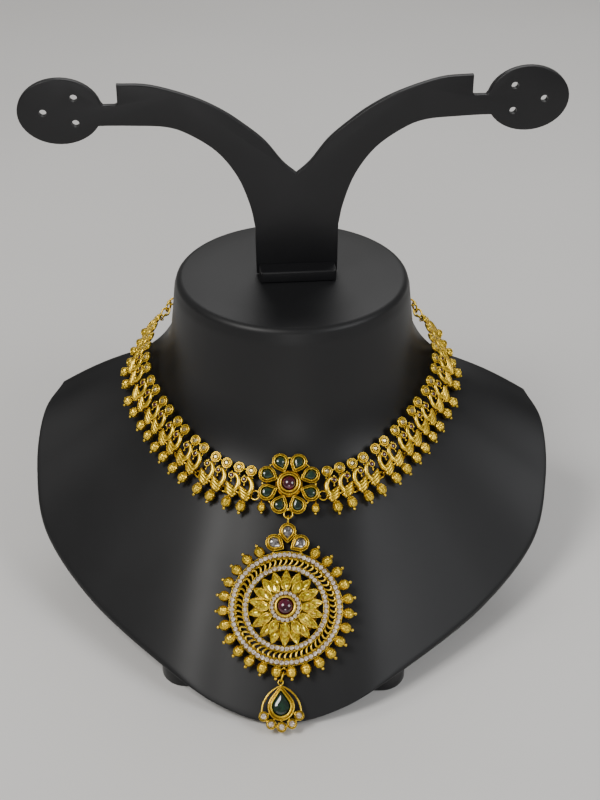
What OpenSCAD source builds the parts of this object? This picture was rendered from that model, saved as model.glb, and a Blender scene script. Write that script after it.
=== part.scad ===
// Temple jewellery necklace on a plain neck bust with arms for earrings.
// All lengths are in millimetres. The front faces -Y and the base stands on z = 0.

/* [Part shown] */

// Which part to show.
// Smoothness of round shapes.
$fn = 40;

/* [Neck bust] */

// Height of the flat neck top above the table.
neck_top_z = 124.5; // [100:0.5:160]
// Radius of the neck at its top.
neck_top_r = 49.5; // [40:0.5:60]
// Radius of the neck at the throat.
neck_low_r = 55; // [45:0.5:65]
// Height over which the neck widens.
neck_flare_h = 49; // [30:1:70]
// Height of the crease between the neck and the chest, in front.
throat_z = 75.5; // [60:0.5:100]
// Height of the same crease at the sides.
side_z = 87; // [70:0.5:110]
// Length of the soft bend on each side of the crease.
crease_soft = 18; // [8:1:25]
// How far round the neck the chest reaches, in degrees.
chest_swing = 102; // [90:1:110]
// Rise of the shoulder ridge over a straight line.
ridge_rise = 1.5; // [0:0.5:6]
// Width of the turned-in rim along the edge of the chest.
rim_in = 7; // [3:0.5:12]
// Half width of the underside.
sole_half_w = 44; // [30:1:60]
// Forward reach of the underside.
sole_front = 124; // [90:1:130]
// Points of the chest's right-hand edge, from the tip in front to the shoulder.
edge_keys = [
    [0, -142, 1.5],
    [23, -136.5, 4],
    [45, -123, 10],
    [81, -88, 15],
    [106, -54, 24],
    [113, -30, 41],
    [112, -10, 57],
    [105, 4, 64.5]
];

/* [Base] */

// Thickness of the base plate.
base_h = 8; // [4:0.5:15]
// Width of the base plate.
base_w = 98; // [70:1:120]
// Front edge of the base plate.
base_front = 120; // [90:1:130]
// Back edge of the base plate.
base_back = 50; // [20:1:70]
// Corner radius of the base plate.
base_corner = 10; // [2:0.5:20]
// Gap between pieces that rest on each other.
rest_gap = 0.1; // [0.05:0.01:0.3]

/* [Earring stand] */

// Thickness of the flat plate with the two arms.
plate_t = 3; // [2:0.1:6]
// Turn of the plate about the neck, in degrees.
plate_turn = 6.5; // [-20:0.5:20]
// Sideways shift of the plate.
plate_x = 2; // [-5:0.5:5]
// Half length and half height of a paddle.
paddle = [16.5, 13.2];
// Centre of the right-hand paddle, from the middle of the plate.
paddle_at = [92.5, 199];
// Radius of the earring holes.
ear_hole_r = 1.5; // [0.8:0.1:3]
// Width, depth and height of the foot block.
foot_size = [32, 18, 5];
// Right-hand outline of the plate from the bottom of the fork along its upper edge.
arm_top = [
    [0, 170], [5.5, 175], [12.5, 184], [20.5, 191], [29.5, 197.5], [41, 203.3], [57, 208.3], [70, 209.2]
];
// Slot between the arm and the paddle.
arm_slot = [[70, 201], [76.5, 201], [77, 208.5]];
// Lower edge of the arm, from the paddle back to the foot.
arm_low = [
    [78, 193], [65, 192.5], [52, 191.6], [43, 188.3], [32, 180.5], [24, 169.5], [19.3, 157], [17.3, 147]
];

/* [Necklace route] */

// Sideways shift of the whole necklace on the bust.
lace_x = 1.2; // [-3:0.1:3]
// Turn of the band and the chain about an upright axis through the flower, in degrees.
lace_turn = 1.4; // [-5:0.1:5]
lace_turn_y = -69; // [-80:1:0]
// Points of the right-hand half: place of the upper line, then the way the links hang.
lace_keys = [
    [13.5, -67.4, 68.6, 0.2, -0.72, -0.66],
    [28.4, -61, 70.6, 0.53, -0.52, -0.66],
    [42.4, -48, 75.2, 0.67, -0.26, -0.69],
    [53.5, -32.4, 80.4, 0.71, -0.03, -0.7],
    [59.85, -21.3, 85.4, 0.71, 0.05, -0.7],
    [62, -10.9, 90.6, 0.63, 0.16, -0.76],
    [60.45, 0.2, 94.55, 0.56, 0.24, -0.79],
    [57.6, 10.25, 98, 0.49, 0.3, -0.82],
    [53.9, 20.3, 99.5, 0.42, 0.32, -0.85]
];
// Route lengths at which the first setting of each double link sits.
pair_at = [1.9, 12.8, 24.9, 37.5, 50.2, 62.4, 74.3, 85.7, 96.7];
// Distance between the two settings of a double link.
unit_gap = 5.4; // [4:0.1:7]
// Splay of the two drops of a double link, each way, in degrees.
unit_splay = 1.8; // [0:0.1:5]

/* [Peacock link] */

// Radius of the round setting on top.
setting_r = 2.28; // [1.5:0.01:3]
// Back face of the flat parts, from the middle plane.
back_z = -0.3; // [-1:0.05:0]
// Place of the bird's head.
head_at = [1.75, -4.1];
// Outer radius of the head's setting.
head_r = 1.28; // [0.8:0.01:2]
// Centre and radius of the neck's bend.
bend_at = [0.9, -6.75];
bend_r = 3.15; // [2:0.05:4]
// Radius of the neck.
neck_wire_r = 0.93; // [0.4:0.05:1.2]
// Centre of the body, its half length and half width, and the height of its wing bars.
body_at = [0.1, -9.95];
body_half = [3.2, 2.2];
wing_z = 1.65; // [0.5:0.05:2.5]
// Tilt of the body, in degrees.
body_tilt = -29; // [-60:1:0]
// Centre line and radius of the bead below.
bead_y = -15; // [-18:0.05:-12]
bead_r = 2.25; // [1.5:0.05:3]
// Radius of the ball under the bead.
tip_r = 0.7; // [0.3:0.01:1]

/* [Joining rings] */

// Centre line radius of a jump ring.
ring_r = 1.85; // [1.2:0.05:3]
// Wire radius of a jump ring.
ring_wire = 0.35; // [0.2:0.01:0.6]
// Depth of the jump rings behind the middle plane.
ring_z = -1.35; // [-2:0.05:-1]
// Centre line radius and wire radius of an eyelet.
eye_r = 0.78; // [0.5:0.01:1.2]
eye_wire = 0.24; // [0.15:0.01:0.4]
// Height of the joints on the links, below the upper line.
joint_y = -10; // [-14:0.1:-5]

/* [Centre flower] */

// Distance of the flower's middle below the throat, and off the chest.
flower_d = 18.6; // [10:0.1:30]
flower_lift = 3; // [2:0.1:6]
// Radius of the circle through the petals' middles.
petal_at = 9.75; // [6:0.05:12]
// Round end radius and point length of a petal's setting.
petal_r = 3.45; // [2:0.05:5]
petal_tip = 5; // [2:0.05:7]
// Radius of the middle setting and of its stone.
heart_r = 4.85; // [3:0.05:6]
heart_stone_r = 3; // [2:0.05:4]
// The hook ring's distance below the flower's middle.
hook_reach = 12.35; // [12:0.05:13.5]
// Radius of the two hanging beads beside the flower.
side_bead_r = 1.8; // [1:0.05:3]

/* [Pendant] */

// Height of the pendant off the chest.
disc_lift = 3.2; // [2:0.1:6]
// Bail below the flower's hook ring, and its height over the outer ring of stones.
bail_gap = 2.45; // [2.3:0.05:3.2]
bail_over = 12.95; // [12:0.05:14]
// The low eye's distance beyond the outer ring of stones.
low_eye_over = 1.85; // [1.5:0.05:3]
// Outer and inner radius of the outer ring of stones.
pave_out = 22.45; // [18:0.05:30]
pave_in = 19.85; // [15:0.05:25]
// Outer and inner radius of the inner ring of stones.
inner_out = 16.95; // [12:0.05:20]
inner_in = 14.8; // [10:0.05:18]
// Number of stones in the outer ring.
pave_n = 68; // [40:1:90]
// Number of crescent openings.
crescent_n = 54; // [30:1:70]
// Number of outer and inner petals.
outer_petals = 18; // [8:1:24]
inner_petals = 12; // [6:1:20]
// Height of the raised middle.
boss_h = 7; // [3:0.1:10]
// Bead places round the disc, and places left free on top.
fringe_n = 27; // [15:1:40]
fringe_free = 3; // [0:1:9]
// Radius of the circle through the fringe beads.
fringe_at = 24.7; // [22:0.05:30]

/* [Drop] */

// Distance of the drop's middle below the low eye, sideways shift and turn in degrees.
drop_hang = 13.5; // [13:0.1:16]
drop_x = -0.7; // [-4:0.1:4]
drop_turn = 3; // [-10:0.5:10]
drop_lift = 3; // [2:0.1:6]
// Round end radius and point length of the drop's setting.
drop_r = 5.3; // [3:0.05:8]
drop_tip = 8.3; // [5:0.05:12]

/* [Back chain] */

// Length, width and wire radius of a chain link.
link_len = 6.4; // [4:0.1:10]
link_w = 4.2; // [3:0.1:6]
link_wire = 0.45; // [0.25:0.01:0.8]
// Chain links on each side of the clasp.
side_links = 16; // [4:1:20]
// Points of the right-hand half of the chain, from beyond the last link to the clasp.
chain_keys = [[54.5, 20.8, 97.7], [48, 31, 98], [37.5, 42, 98.5], [20.5, 52, 99], [0, 56, 99]];
// Length and radius of the clasp.
clasp_len = 8; // [4:0.5:14]
clasp_r = 2.1; // [1:0.1:4]
// Radius of the clasp's two eyes.
clasp_eye_r = 1.5; // [1:0.05:3]

/* [Hidden] */

// Places down the front, each measured from the one above it.
bail_y = pave_out + bail_over;
eye_low_y = -pave_out - low_eye_over;
disc_d = flower_d + hook_reach + bail_gap + bail_y;
drop_d = disc_d - eye_low_y + drop_hang;

gold = [0.86, 0.66, 0.24];
black = [0.09, 0.09, 0.1];
white = [0.95, 0.93, 0.92];
green = [0.05, 0.3, 0.15];
red = [0.45, 0.03, 0.12];

// Helpers.

function unit(v) = v / norm(v);
function lerp(a, b, f) = a + (b - a) * f;
function flip_x(p) = [-p[0], p[1], p[2]];
function mirror_key(k) = [for (i = [0:len(k) - 1]) i % 3 == 0 ? -k[i] : k[i]];

// Value at share f of the way from b to c on a smooth curve through a, b, c and d.
function smooth(a, b, c, d, f) =
    b + (c - a) * f / 2
    + (2 * a - 5 * b + 4 * c - d) * f * f / 2
    + (3 * b - a - 3 * c + d) * f * f * f / 2;

// A frame with its origin at o, x along ax and z near az.
function frame(o, ax, az) =
    let(x = unit(ax), y = unit(cross(az, x)), z = cross(x, y))
    [[x[0], y[0], z[0], o[0]], [x[1], y[1], z[1], o[1]], [x[2], y[2], z[2], o[2]], [0, 0, 0, 1]];

// A point given in a frame, and the frame's own axes.
function in_frame(m, p) = let(q = m * [p[0], p[1], p[2], 1]) [q[0], q[1], q[2]];
function axis_of(m, k) = [m[0][k], m[1][k], m[2][k]];

// A closed skin through rings that have the same number of points.
module loft(rings) {
    n = len(rings[0]);
    m = len(rings);
    points = concat([for (r = rings) for (p = r) p],
        [[0, 0, rings[0][0][2]], [0, 0, rings[m - 1][0][2]]]);
    sides = [for (i = [0:m - 2]) for (j = [0:n - 1]) for (s = [0, 1])
        s == 0
        ? [i * n + j, (i + 1) * n + (j + 1) % n, (i + 1) * n + j]
        : [i * n + j, i * n + (j + 1) % n, (i + 1) * n + (j + 1) % n]];
    caps = [for (j = [0:n - 1]) for (s = [0, 1])
        s == 0
        ? [m * n, (j + 1) % n, j]
        : [m * n + 1, (m - 1) * n + j, (m - 1) * n + (j + 1) % n]];
    polyhedron(points, concat(sides, caps), convexity = 6);
}

module ring(r, wire) {
    rotate_extrude() translate([r, 0]) circle(wire);
}

// Neck bust.

chest_rings = 12;
half_n = 24;
back_n = 10;
edge_n = len(edge_keys) - 1;

function edge_key(i) =
    i < 0 ? flip_x(edge_keys[-i])
    : i > edge_n ? 2 * edge_keys[edge_n] - edge_keys[edge_n - 1]
    : edge_keys[i];

function edge(t) =
    let(u = t * edge_n, i = min(edge_n - 1, floor(u)))
    smooth(edge_key(i - 1), edge_key(i), edge_key(i + 1), edge_key(i + 2), u - i);

function neck_r(z) = lerp(neck_top_r, neck_low_r, min(1, (neck_top_z - z) / neck_flare_h));
function on_neck(a, z) = [neck_r(z) * sin(a), -neck_r(z) * cos(a), z];

function crease_z(t) =
    lerp(throat_z, side_z, (1 - cos(chest_swing * t)) / (1 - cos(chest_swing)));
function crease(t) = on_neck(chest_swing * t, crease_z(t));

// The soft bend from the neck to the chest, and the chest from there to its edge.
function bend(t, f) =
    let(c = crease(t), a = on_neck(chest_swing * t, crease_z(t) + crease_soft),
        b = c + unit(edge(t) - c) * crease_soft)
    a * (1 - f) * (1 - f) + c * 2 * f * (1 - f) + b * f * f;
function slope(t, f) =
    let(c = crease(t), b = c + unit(edge(t) - c) * crease_soft)
    lerp(b, edge(t), f) + [0, 0, ridge_rise * pow(t, 4) * sin(180 * f)];

bend_share = 0.3;
function chest(t, s) =
    let(p = s < bend_share ? bend(abs(t), s / bend_share)
        : slope(abs(t), (s - bend_share) / (1 - bend_share)))
    t < 0 ? flip_x(p) : p;

rim_drop = 5;
rim_low = 1.6;
rim_rise = 3;
function chest_rim(t) =
    let(e = edge(abs(t)), way = unit([-e[0], -e[1], 0]),
        p = e + way * rim_in + [0, 0, max(-rim_drop, min(rim_rise, base_h + rim_low - e[2]))])
    t < 0 ? flip_x(p) : p;
function sole(t) =
    let(a = chest_swing * t)
    [sole_half_w * sin(a), -sole_front * cos(a) * (abs(a) < 90 ? 1 : 0.5), base_h + rest_gap];

// The plain back: points from the right end of a ring round the neck to the left end.
back_start = chest_swing + 4;
function back_point(p, j) =
    let(r = min(neck_r(p[2]), norm([p[0], p[1]])),
        f = (min(j, 2 * back_n - j) - 1) / (back_n - 1),
        a = lerp(back_start, 180, f))
    [(j <= back_n ? 1 : -1) * r * sin(a), -r * cos(a), p[2]];
function whole_ring(front) =
    concat(front, [for (j = [1:2 * back_n - 1]) back_point(front[2 * half_n], j)]);
function neck_ring(z, r) =
    whole_ring([for (j = [-half_n:half_n])
        [r * sin(chest_swing * j / half_n), -r * cos(chest_swing * j / half_n), z]]);

rim_soft = 2;
bust_rings = concat(
    [neck_ring(neck_top_z, neck_top_r - rim_soft),
     neck_ring(neck_top_z - 0.3 * rim_soft, neck_top_r - 0.3 * rim_soft),
     neck_ring(neck_top_z - rim_soft, neck_top_r)],
    [for (k = [0:chest_rings])
        whole_ring([for (j = [-half_n:half_n]) chest(j / half_n, k / chest_rings)])],
    [whole_ring([for (j = [-half_n:half_n]) chest_rim(j / half_n)]),
     whole_ring([for (j = [-half_n:half_n]) sole(j / half_n)])]);

module bust_body() {
    color(black) loft(bust_rings);
}

// Base.

module base_foot() {
    deep = base_front + base_back;
    color(black)
    translate([0, (base_back - base_front) / 2, 0])
    linear_extrude(base_h)
    union() {
        square([base_w - 2 * base_corner, deep], center = true);
        square([base_w, deep - 2 * base_corner], center = true);
        for (x = [-1, 1])
            for (y = [-1, 1])
                translate([x * (base_w / 2 - base_corner), y * (deep / 2 - base_corner)])
                    circle(base_corner);
    }
}

// Earring stand.

hole_spots = [[99, 198.8], [86.7, 204.5], [86.7, 194.2]];
stem_half = 17;
foot_z = neck_top_z + rest_gap;

module arm_outline() {
    half = concat(arm_top, arm_slot, arm_low, [[stem_half, foot_z]]);
    polygon(concat(half, [for (i = [len(half) - 1:-1:1]) [-half[i][0], half[i][1]]]));
}

module earring_stand() {
    color(black)
    translate([plate_x, 0, 0])
    rotate([0, 0, plate_turn]) {
        rotate([90, 0, 0])
        translate([0, 0, -plate_t / 2])
        linear_extrude(plate_t)
        difference() {
            union() {
                arm_outline();
                for (s = [-1, 1])
                    translate([s * paddle_at[0], paddle_at[1]])
                        scale([1, paddle[1] / paddle[0]])
                            circle(paddle[0]);
            }
            for (s = [-1, 1])
                for (h = hole_spots)
                    translate([s * h[0], h[1]])
                        circle(ear_hole_r);
        }
        translate([-foot_size[0] / 2, -foot_size[1] / 2, foot_z])
            cube(foot_size);
    }
}

// Route of the necklace.

// A route is kept as fine points with the length up to each of them. It mirrors itself at its end.
fine = 20;
function route_key(keys, i) =
    let(n = len(keys) - 1)
    i < 0 ? 2 * keys[0] - keys[1] : i > n ? mirror_key(keys[2 * n - i]) : keys[i];
function route_raw(keys, u) =
    let(i = min(len(keys) - 2, floor(u)))
    smooth(route_key(keys, i - 1), route_key(keys, i), route_key(keys, i + 1), route_key(keys, i + 2),
        u - i);
function place(p) = [p[0], p[1], p[2]];
function hang(p) = [p[3], p[4], p[5]];
function added(steps, i = 0, sum = 0) =
    i > len(steps) ? [] : concat([sum], added(steps, i + 1, sum + (i < len(steps) ? steps[i] : 0)));
function route(keys) =
    let(line = [for (i = [0:(len(keys) - 1) * fine]) route_raw(keys, i / fine)])
    [line, added([for (i = [1:len(line) - 1]) norm(place(line[i]) - place(line[i - 1]))])];
function route_length(r) = r[1][len(r[1]) - 1];
function spot(sums, s, lo, hi) =
    hi - lo < 2 ? lo
    : let(m = floor((lo + hi) / 2)) sums[m] > s ? spot(sums, s, lo, m) : spot(sums, s, m, hi);
function along(r, s) =
    let(i = spot(r[1], s, 0, len(r[1]) - 1), f = (s - r[1][i]) / (r[1][i + 1] - r[1][i]))
    lerp(r[0][i], r[0][i + 1], f);
lace_route = route(lace_keys);
function lace(s) = along(lace_route, s);

// Frames of the double links: x along the route, y up from the drops, z off the bust.
function pair_frame(k) =
    let(s = pair_at[k],
        a = lace(s), b = lace(s + unit_gap), m = lace(s + unit_gap / 2),
        x = unit(place(b) - place(a)),
        h = hang(m), d = unit(h - x * (h * x)),
        o = (place(a) + place(b)) / 2)
    frame(o, x, cross(d, x));
pairs = len(pair_at);
pair_frames = [for (k = [0:pairs - 1]) pair_frame(k)];

// Frames on the chest: x to the right, y up the slope, z off the chest.
throat = [0, -neck_low_r, throat_z];
chest_way = unit(edge_keys[0] - throat);
chest_out = cross([1, 0, 0], -chest_way);
function chest_frame(x, d, lift) =
    frame(throat + chest_way * d + chest_out * lift + [x, 0, 0], [1, 0, 0], chest_out);
flower_frame = chest_frame(0, flower_d, flower_lift);
disc_frame = chest_frame(0, disc_d, disc_lift);

// Joints: number 0 is beside the flower, the last one holds the chain.
eye_reach = 2.3;
flower_joint = [12.2, -5, 0];
first_joint = [-5, -8.6, 0];
function right_of(k) = in_frame(pair_frames[k], [unit_gap / 2 + eye_reach, joint_y, 0]);
function left_of(k) = in_frame(pair_frames[k], [-unit_gap / 2 - eye_reach, joint_y, 0]);
function joint_frame(k) =
    let(a = k == 0 ? in_frame(flower_frame, flower_joint) : right_of(k - 1),
        b = k == 0 ? in_frame(pair_frames[0], first_joint) : left_of(k),
        za = k == 0 ? axis_of(flower_frame, 2) : axis_of(pair_frames[k - 1], 2),
        zb = axis_of(pair_frames[k], 2))
    frame((a + b) / 2, b - a, za + zb);
end_at = [unit_gap / 2 + 1.2, -0.6, 0];
end_frame =
    let(m = pair_frames[pairs - 1], o = in_frame(m, end_at), way = unit(chain_keys[0] - o))
    frame(o + way * ring_r, way, axis_of(m, 2));
joints = [for (k = [0:pairs]) k < pairs ? joint_frame(k) : end_frame];

// A frame of the right-hand half, or its mirror image on the left. There x still points right.
// Both are moved sideways with the whole necklace.
lace_shift = [[1, 0, 0, lace_x], [0, 1, 0, 0], [0, 0, 1, 0], [0, 0, 0, 1]];
lace_swing = let(c = cos(lace_turn), s = sin(lace_turn))
    [[c, -s, 0, s * lace_turn_y], [s, c, 0, (1 - c) * lace_turn_y], [0, 0, 1, 0], [0, 0, 0, 1]];
function side_matrix(side) = [[side, 0, 0, 0], [0, 1, 0, 0], [0, 0, 1, 0], [0, 0, 0, 1]];
module at_frame(m) {
    multmatrix(lace_shift * m) children();
}
module at_side(m, side) {
    at_frame(lace_swing * side_matrix(side) * m * side_matrix(side)) children();
}

// An eyelet on one side of a joint, with the solder that holds it.
post_r = 0.42;
module eyelet(joint, way, side) {
    at_side(joint, side)
    translate([side * way * ring_r, 0, ring_z]) {
        rotate([90, 0, 0]) ring(eye_r, eye_wire);
        translate([0, 0, eye_r - eye_wire / 2]) cylinder(h = 1.1, r = post_r);
    }
}

module joint_ring(joint, side) {
    at_side(joint, side) translate([0, 0, ring_z]) ring(ring_r, ring_wire);
}

// Settings.

// A round setting with two rims. The stone's seat is open on top.
module round_setting(r, seat_r, top) {
    rotate_extrude() polygon([
        [0, back_z], [r * 0.97, back_z], [r, back_z + 0.2], [r, top * 0.62], [r * 0.93, top * 0.72],
        [r * 0.86, top * 0.62], [r * 0.78, top * 0.34], [r * 0.7, top * 0.4], [seat_r + 0.3, top],
        [seat_r + 0.1, top], [seat_r + 0.02, top * 0.3], [0, top * 0.3]
    ]);
}

// Outline of a pear with its point towards -y.
pear_n = 24;
function pear(r, tip, n = pear_n) =
    let(lean = acos(r / tip), turn = 360 - 2 * lean)
    concat([[0, -tip]],
        [for (i = [0:n - 2]) let(a = -90 + lean + turn * i / (n - 2)) [r * cos(a), r * sin(a)]]);

module pear_setting(r, tip, seat, top) {
    rim = (r - seat) / 2.6;
    difference() {
        union() {
            translate([0, 0, back_z]) linear_extrude(top * 0.3 - back_z) polygon(pear(r, tip));
            translate([0, 0, back_z]) linear_extrude(top * 0.7 - back_z)
                difference() {
                    polygon(pear(r, tip));
                    polygon(pear(r - rim, tip - rim * 1.25));
                }
            translate([0, 0, back_z]) linear_extrude(top - back_z)
                polygon(pear(r - rim * 1.5, tip - rim * 1.5 * 1.25));
        }
        translate([0, 0, top * 0.3]) linear_extrude(top)
            polygon(pear(seat + 0.05, (tip - r) * seat / r + seat + 0.05));
    }
}

// Stones.

// A round cut stone: a table, a crown of small facets and a pointed underside.
module round_stone(r, rise, depth, n = 8) {
    table = [for (i = [0:n - 1]) [0.58 * r * cos(360 * i / n), 0.58 * r * sin(360 * i / n), rise]];
    belt = [for (i = [0:n - 1]) let(a = 360 * (i + 0.5) / n) [r * cos(a), r * sin(a), 0]];
    polyhedron(concat(table, belt, [[0, 0, -depth]]), concat(
        [[for (i = [0:n - 1]) n - 1 - i]],
        [for (i = [0:n - 1]) [i, (i + 1) % n, n + i]],
        [for (i = [0:n - 1]) [(i + 1) % n, n + (i + 1) % n, n + i]],
        [for (i = [0:n - 1]) [n + i, n + (i + 1) % n, 2 * n]]));
}

// A pear stone with a table and one row of facets on a flat underside.
module pear_stone(r, tip, rise, low, n = 12) {
    belt = pear(r, tip, n);
    polyhedron(concat(
        [for (p = belt) [p[0] * 0.55, p[1] * 0.55, rise]],
        [for (p = belt) [p[0], p[1], 0]],
        [for (p = belt) [p[0] * 0.9, p[1] * 0.9, -low]]), concat(
        [[for (i = [0:n - 1]) n - 1 - i]],
        [for (i = [0:n - 1]) for (s = [0, 1]) s == 0
            ? [i, (i + 1) % n, n + i] : [(i + 1) % n, n + (i + 1) % n, n + i]],
        [for (i = [0:n - 1]) for (s = [0, 1]) s == 0
            ? [n + i, n + (i + 1) % n, 2 * n + i]
            : [n + (i + 1) % n, 2 * n + (i + 1) % n, 2 * n + i]],
        [[for (i = [0:n - 1]) 2 * n + i]]));
}

// Bead with a belt, a collar that reaches y = top, and a ball towards -y.
belt_h = 0.5;
belt_out = 0.12;
module bead(r, tip, collar, top) {
    rotate([-90, 0, 0])
    rotate_extrude() polygon(concat(
        [for (a = [-90:30:30]) [max(0, tip * cos(a)), -r - tip * 0.65 + tip * sin(a)]],
        [for (a = [-62:14:-6]) [r * cos(a), r * sin(a)]],
        [[r + belt_out, -belt_h / 2], [r + belt_out, belt_h / 2]],
        [for (a = [8:12:56]) [r * cos(a), r * sin(a)]],
        [[collar, r * 0.93], [collar, top], [0, top]]));
}

// Peacock links.

setting_top = 1.35;
stone_r = 0.95;
collar_r = 0.8;
body_cut = 20;
neck_start = 92;
neck_turn = 132;
wing_turn = 40;

// A bent rod of radius wire about the origin, from one angle on; side -1 mirrors it.
module bent_rod(r, wire, start, turn, side) {
    rotate([0, 0, side > 0 ? start : 180 - start - turn])
        rotate_extrude(angle = turn) translate([r, 0]) circle(wire);
}

// A long round body about x.
body_steps = 9;
module round_body(half_l, half_w) {
    rotate([0, 90, 0])
    rotate_extrude() polygon(concat(
        [for (i = [0:body_steps]) let(a = -90 + 180 * i / body_steps)
            [max(0, half_w * cos(a)), half_l * sin(a)]]));
}

// One bird with its setting and its bead, facing away from the middle of the necklace.
module peacock(side) {
    translate([0, bead_y, 0]) bead(bead_r, tip_r, collar_r, bead_r + 1.15);
    round_setting(setting_r, stone_r, setting_top);
    translate([side * 0.35, -2.75, 0.35]) sphere(0.62);
    translate([side * head_at[0], head_at[1], 0]) head_setting();
    translate([side * (head_at[0] + 0.35), head_at[1] + head_r + 0.3, 0.35]) sphere(0.55);
    translate([side * (head_at[0] - 0.3), head_at[1] - head_r - 0.45, 0.35]) sphere(0.42);
    translate([side * (head_at[0] - 0.2), head_at[1] - head_r + 0.15, 0.35])
        rotate([90, 0, 0]) cylinder(h = 0.7, r = 0.28);
    difference() {
        union() {
            translate([side * bend_at[0], bend_at[1], 0.25])
                bent_rod(bend_r, neck_wire_r, neck_start, neck_turn, side);
            translate([side * body_at[0], body_at[1], 0])
                rotate([0, 0, side * body_tilt])
                    round_body(body_half[0], body_half[1]);
        }
        translate([-body_cut / 2, -body_cut, back_z - body_cut]) cube(body_cut);
    }
    for (i = [0:2])
        translate([side * (body_at[0] + 0.5), body_at[1] - 5.6 + i * 0.75, wing_z + 0.12 * i])
            bent_rod(4.9, 0.3, 72, wing_turn, side);
}

module head_setting() {
    rotate_extrude() polygon([
        [0, back_z], [head_r * 0.95, back_z], [head_r, back_z + 0.2], [head_r, 0.8],
        [head_r * 0.85, 1.15], [head_r * 0.62, 1.15], [head_r * 0.56, 0.5], [0, 0.5]
    ]);
}

unit_x = [-unit_gap / 2, unit_gap / 2];
unit_turn = [-unit_splay, unit_splay];
module each_unit() {
    for (i = [0, 1])
        translate([unit_x[i], 0, 0])
            rotate([0, 0, unit_turn[i]])
                children();
}

strut_half = 1.2;
module peacock_link(k, side) {
    color(gold) {
        at_side(pair_frames[k], side) {
            each_unit() peacock(side);
            translate([-unit_gap / 2 + setting_r - 0.2, 0, 0.2])
                rotate([0, 90, 0]) cylinder(h = unit_gap - 2 * setting_r + 0.4, r = 0.3);
            translate([-strut_half, body_at[1], 0.5])
                rotate([0, 90, 0]) cylinder(h = 2 * strut_half, r = 0.4);
        }
        eyelet(joints[k], 1, side);
        eyelet(joints[k + 1], -1, side);
    }
}

module each_setting() {
    for (side = [-1, 1])
        for (m = pair_frames)
            at_side(m, side) each_unit()
                children();
}

module link_stones() {
    color(white)
    each_setting()
        translate([0, 0, setting_top * 0.3 + 0.65]) round_stone(stone_r - 0.06, 0.35, 0.58);
}

eye_stone_r = head_r * 0.56 - 0.06;
module peacock_rubies() {
    color(red)
    for (side = [-1, 1])
        for (m = pair_frames)
            at_side(m, side) each_unit()
                translate([side * head_at[0], head_at[1], 0.56 + eye_stone_r]) sphere(eye_stone_r);
}

module jump_rings() {
    color(gold)
    for (side = [-1, 1])
        for (j = joints) joint_ring(j, side);
}

// Centre flower.

petal_top = 1.9;
petal_seat = 2.2;
heart_top = 2.6;
hook_r = 1.75;
hook_wire = 0.38;
side_bead_at = [10.9, -9.9];
module each_petal() {
    for (i = [0:7])
        rotate([0, 0, 22.5 + 45 * i])
            translate([petal_at, 0, 0])
                rotate([0, 0, -90])
                    children();
}

module flower_metal() {
    color(gold) {
        at_frame(flower_frame) {
            each_petal() pear_setting(petal_r, petal_tip, petal_seat, petal_top);
            round_setting(heart_r, heart_stone_r, heart_top);
            translate([0, 0, back_z]) cylinder(h = 0.6, r = heart_r + 0.6);
            for (i = [0:7])
                rotate([0, 0, 45 * i])
                    translate([petal_at + 0.9, 0, 0.2])
                        rotate([90, 0, 0]) cylinder(h = 2, r = 0.4, center = true);
            translate([0, -hook_reach, 0]) ring(hook_r, hook_wire);
            translate([0, hook_r + 0.15 - hook_reach, 0]) sphere(0.75);
            for (s = [-1, 1])
                translate([s * side_bead_at[0], side_bead_at[1], 0])
                    bead(side_bead_r, 0.5, 0.5, side_bead_r + 2.05);
        }
        for (side = [-1, 1]) eyelet(joints[0], -1, side);
    }
}

module flower_emeralds() {
    color(green)
    at_frame(flower_frame)
        each_petal()
            translate([0, 0, petal_top * 0.3 + 0.75])
                pear_stone(petal_seat - 0.05, petal_tip * petal_seat / petal_r - 0.08, 0.7, 0.7);
}

module flower_ruby() {
    color(red)
    at_frame(flower_frame)
        translate([0, 0, heart_top * 0.3 + 0.05])
            dome_stone(heart_stone_r - 0.06, 2.6);
}

// A smooth domed stone on a flat underside.
dome_belt = 0.8;
module dome_stone(r, h) {
    rotate_extrude() polygon(concat(
        [[0, 0], [r, 0]],
        [for (a = [0:10:90]) [max(0, r * cos(a)), dome_belt + (h - dome_belt) * sin(a)]]));
}

// Pendant.

plate_z = 0.5;
boss_r = 6.9;
halo_out = 6.15;
halo_in = 3.95;
crown_r = 3.8;
pave_top = 1.25;
pave_seat = 0.45;
pave_mid = (pave_out + pave_in) / 2;
trefoil_top = [0, pave_out + 8.15];
trefoil_side = [5.3, pave_out + 3.55];
trefoil_turn = 58;
trefoil_r = 3.45;
trefoil_tip = 4.9;
trefoil_seat = 2.05;
trefoil_rim = 1.9;
ball_z = 0.3;

module pave_ring(outer, inner, low, top, seat) {
    rotate_extrude() polygon([
        [inner, low], [outer, low], [outer, top - 0.15], [outer - 0.15, top], [outer - 0.35, top],
        [outer - 0.4, seat], [inner + 0.4, seat], [inner + 0.35, top], [inner + 0.15, top],
        [inner, top - 0.15]
    ]);
}

// The row of crescent openings between the two rings of stones.
cut_r = 1.28;
module crescent_row() {
    mid = (pave_in + inner_out) / 2;
    translate([0, 0, back_z])
    linear_extrude(plate_z - back_z)
    difference() {
        circle(pave_in + 0.2);
        circle(inner_out - 0.2);
        for (i = [0:crescent_n - 1])
            rotate([0, 0, 360 * i / crescent_n])
                translate([mid, 0])
                    difference() {
                        circle(cut_r);
                        translate([0.15, 0.72]) circle(cut_r + 0.12);
                    }
    }
}

function leaf(l, w, n = 6) = concat(
    [for (i = [0:n]) let(f = i / n) [l * f, w / 2 * pow(sin(180 * pow(f, 0.85)), 0.8)]],
    [for (i = [n - 1:-1:1]) let(f = i / n) [l * f, -w / 2 * pow(sin(180 * pow(f, 0.85)), 0.8)]]);

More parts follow.
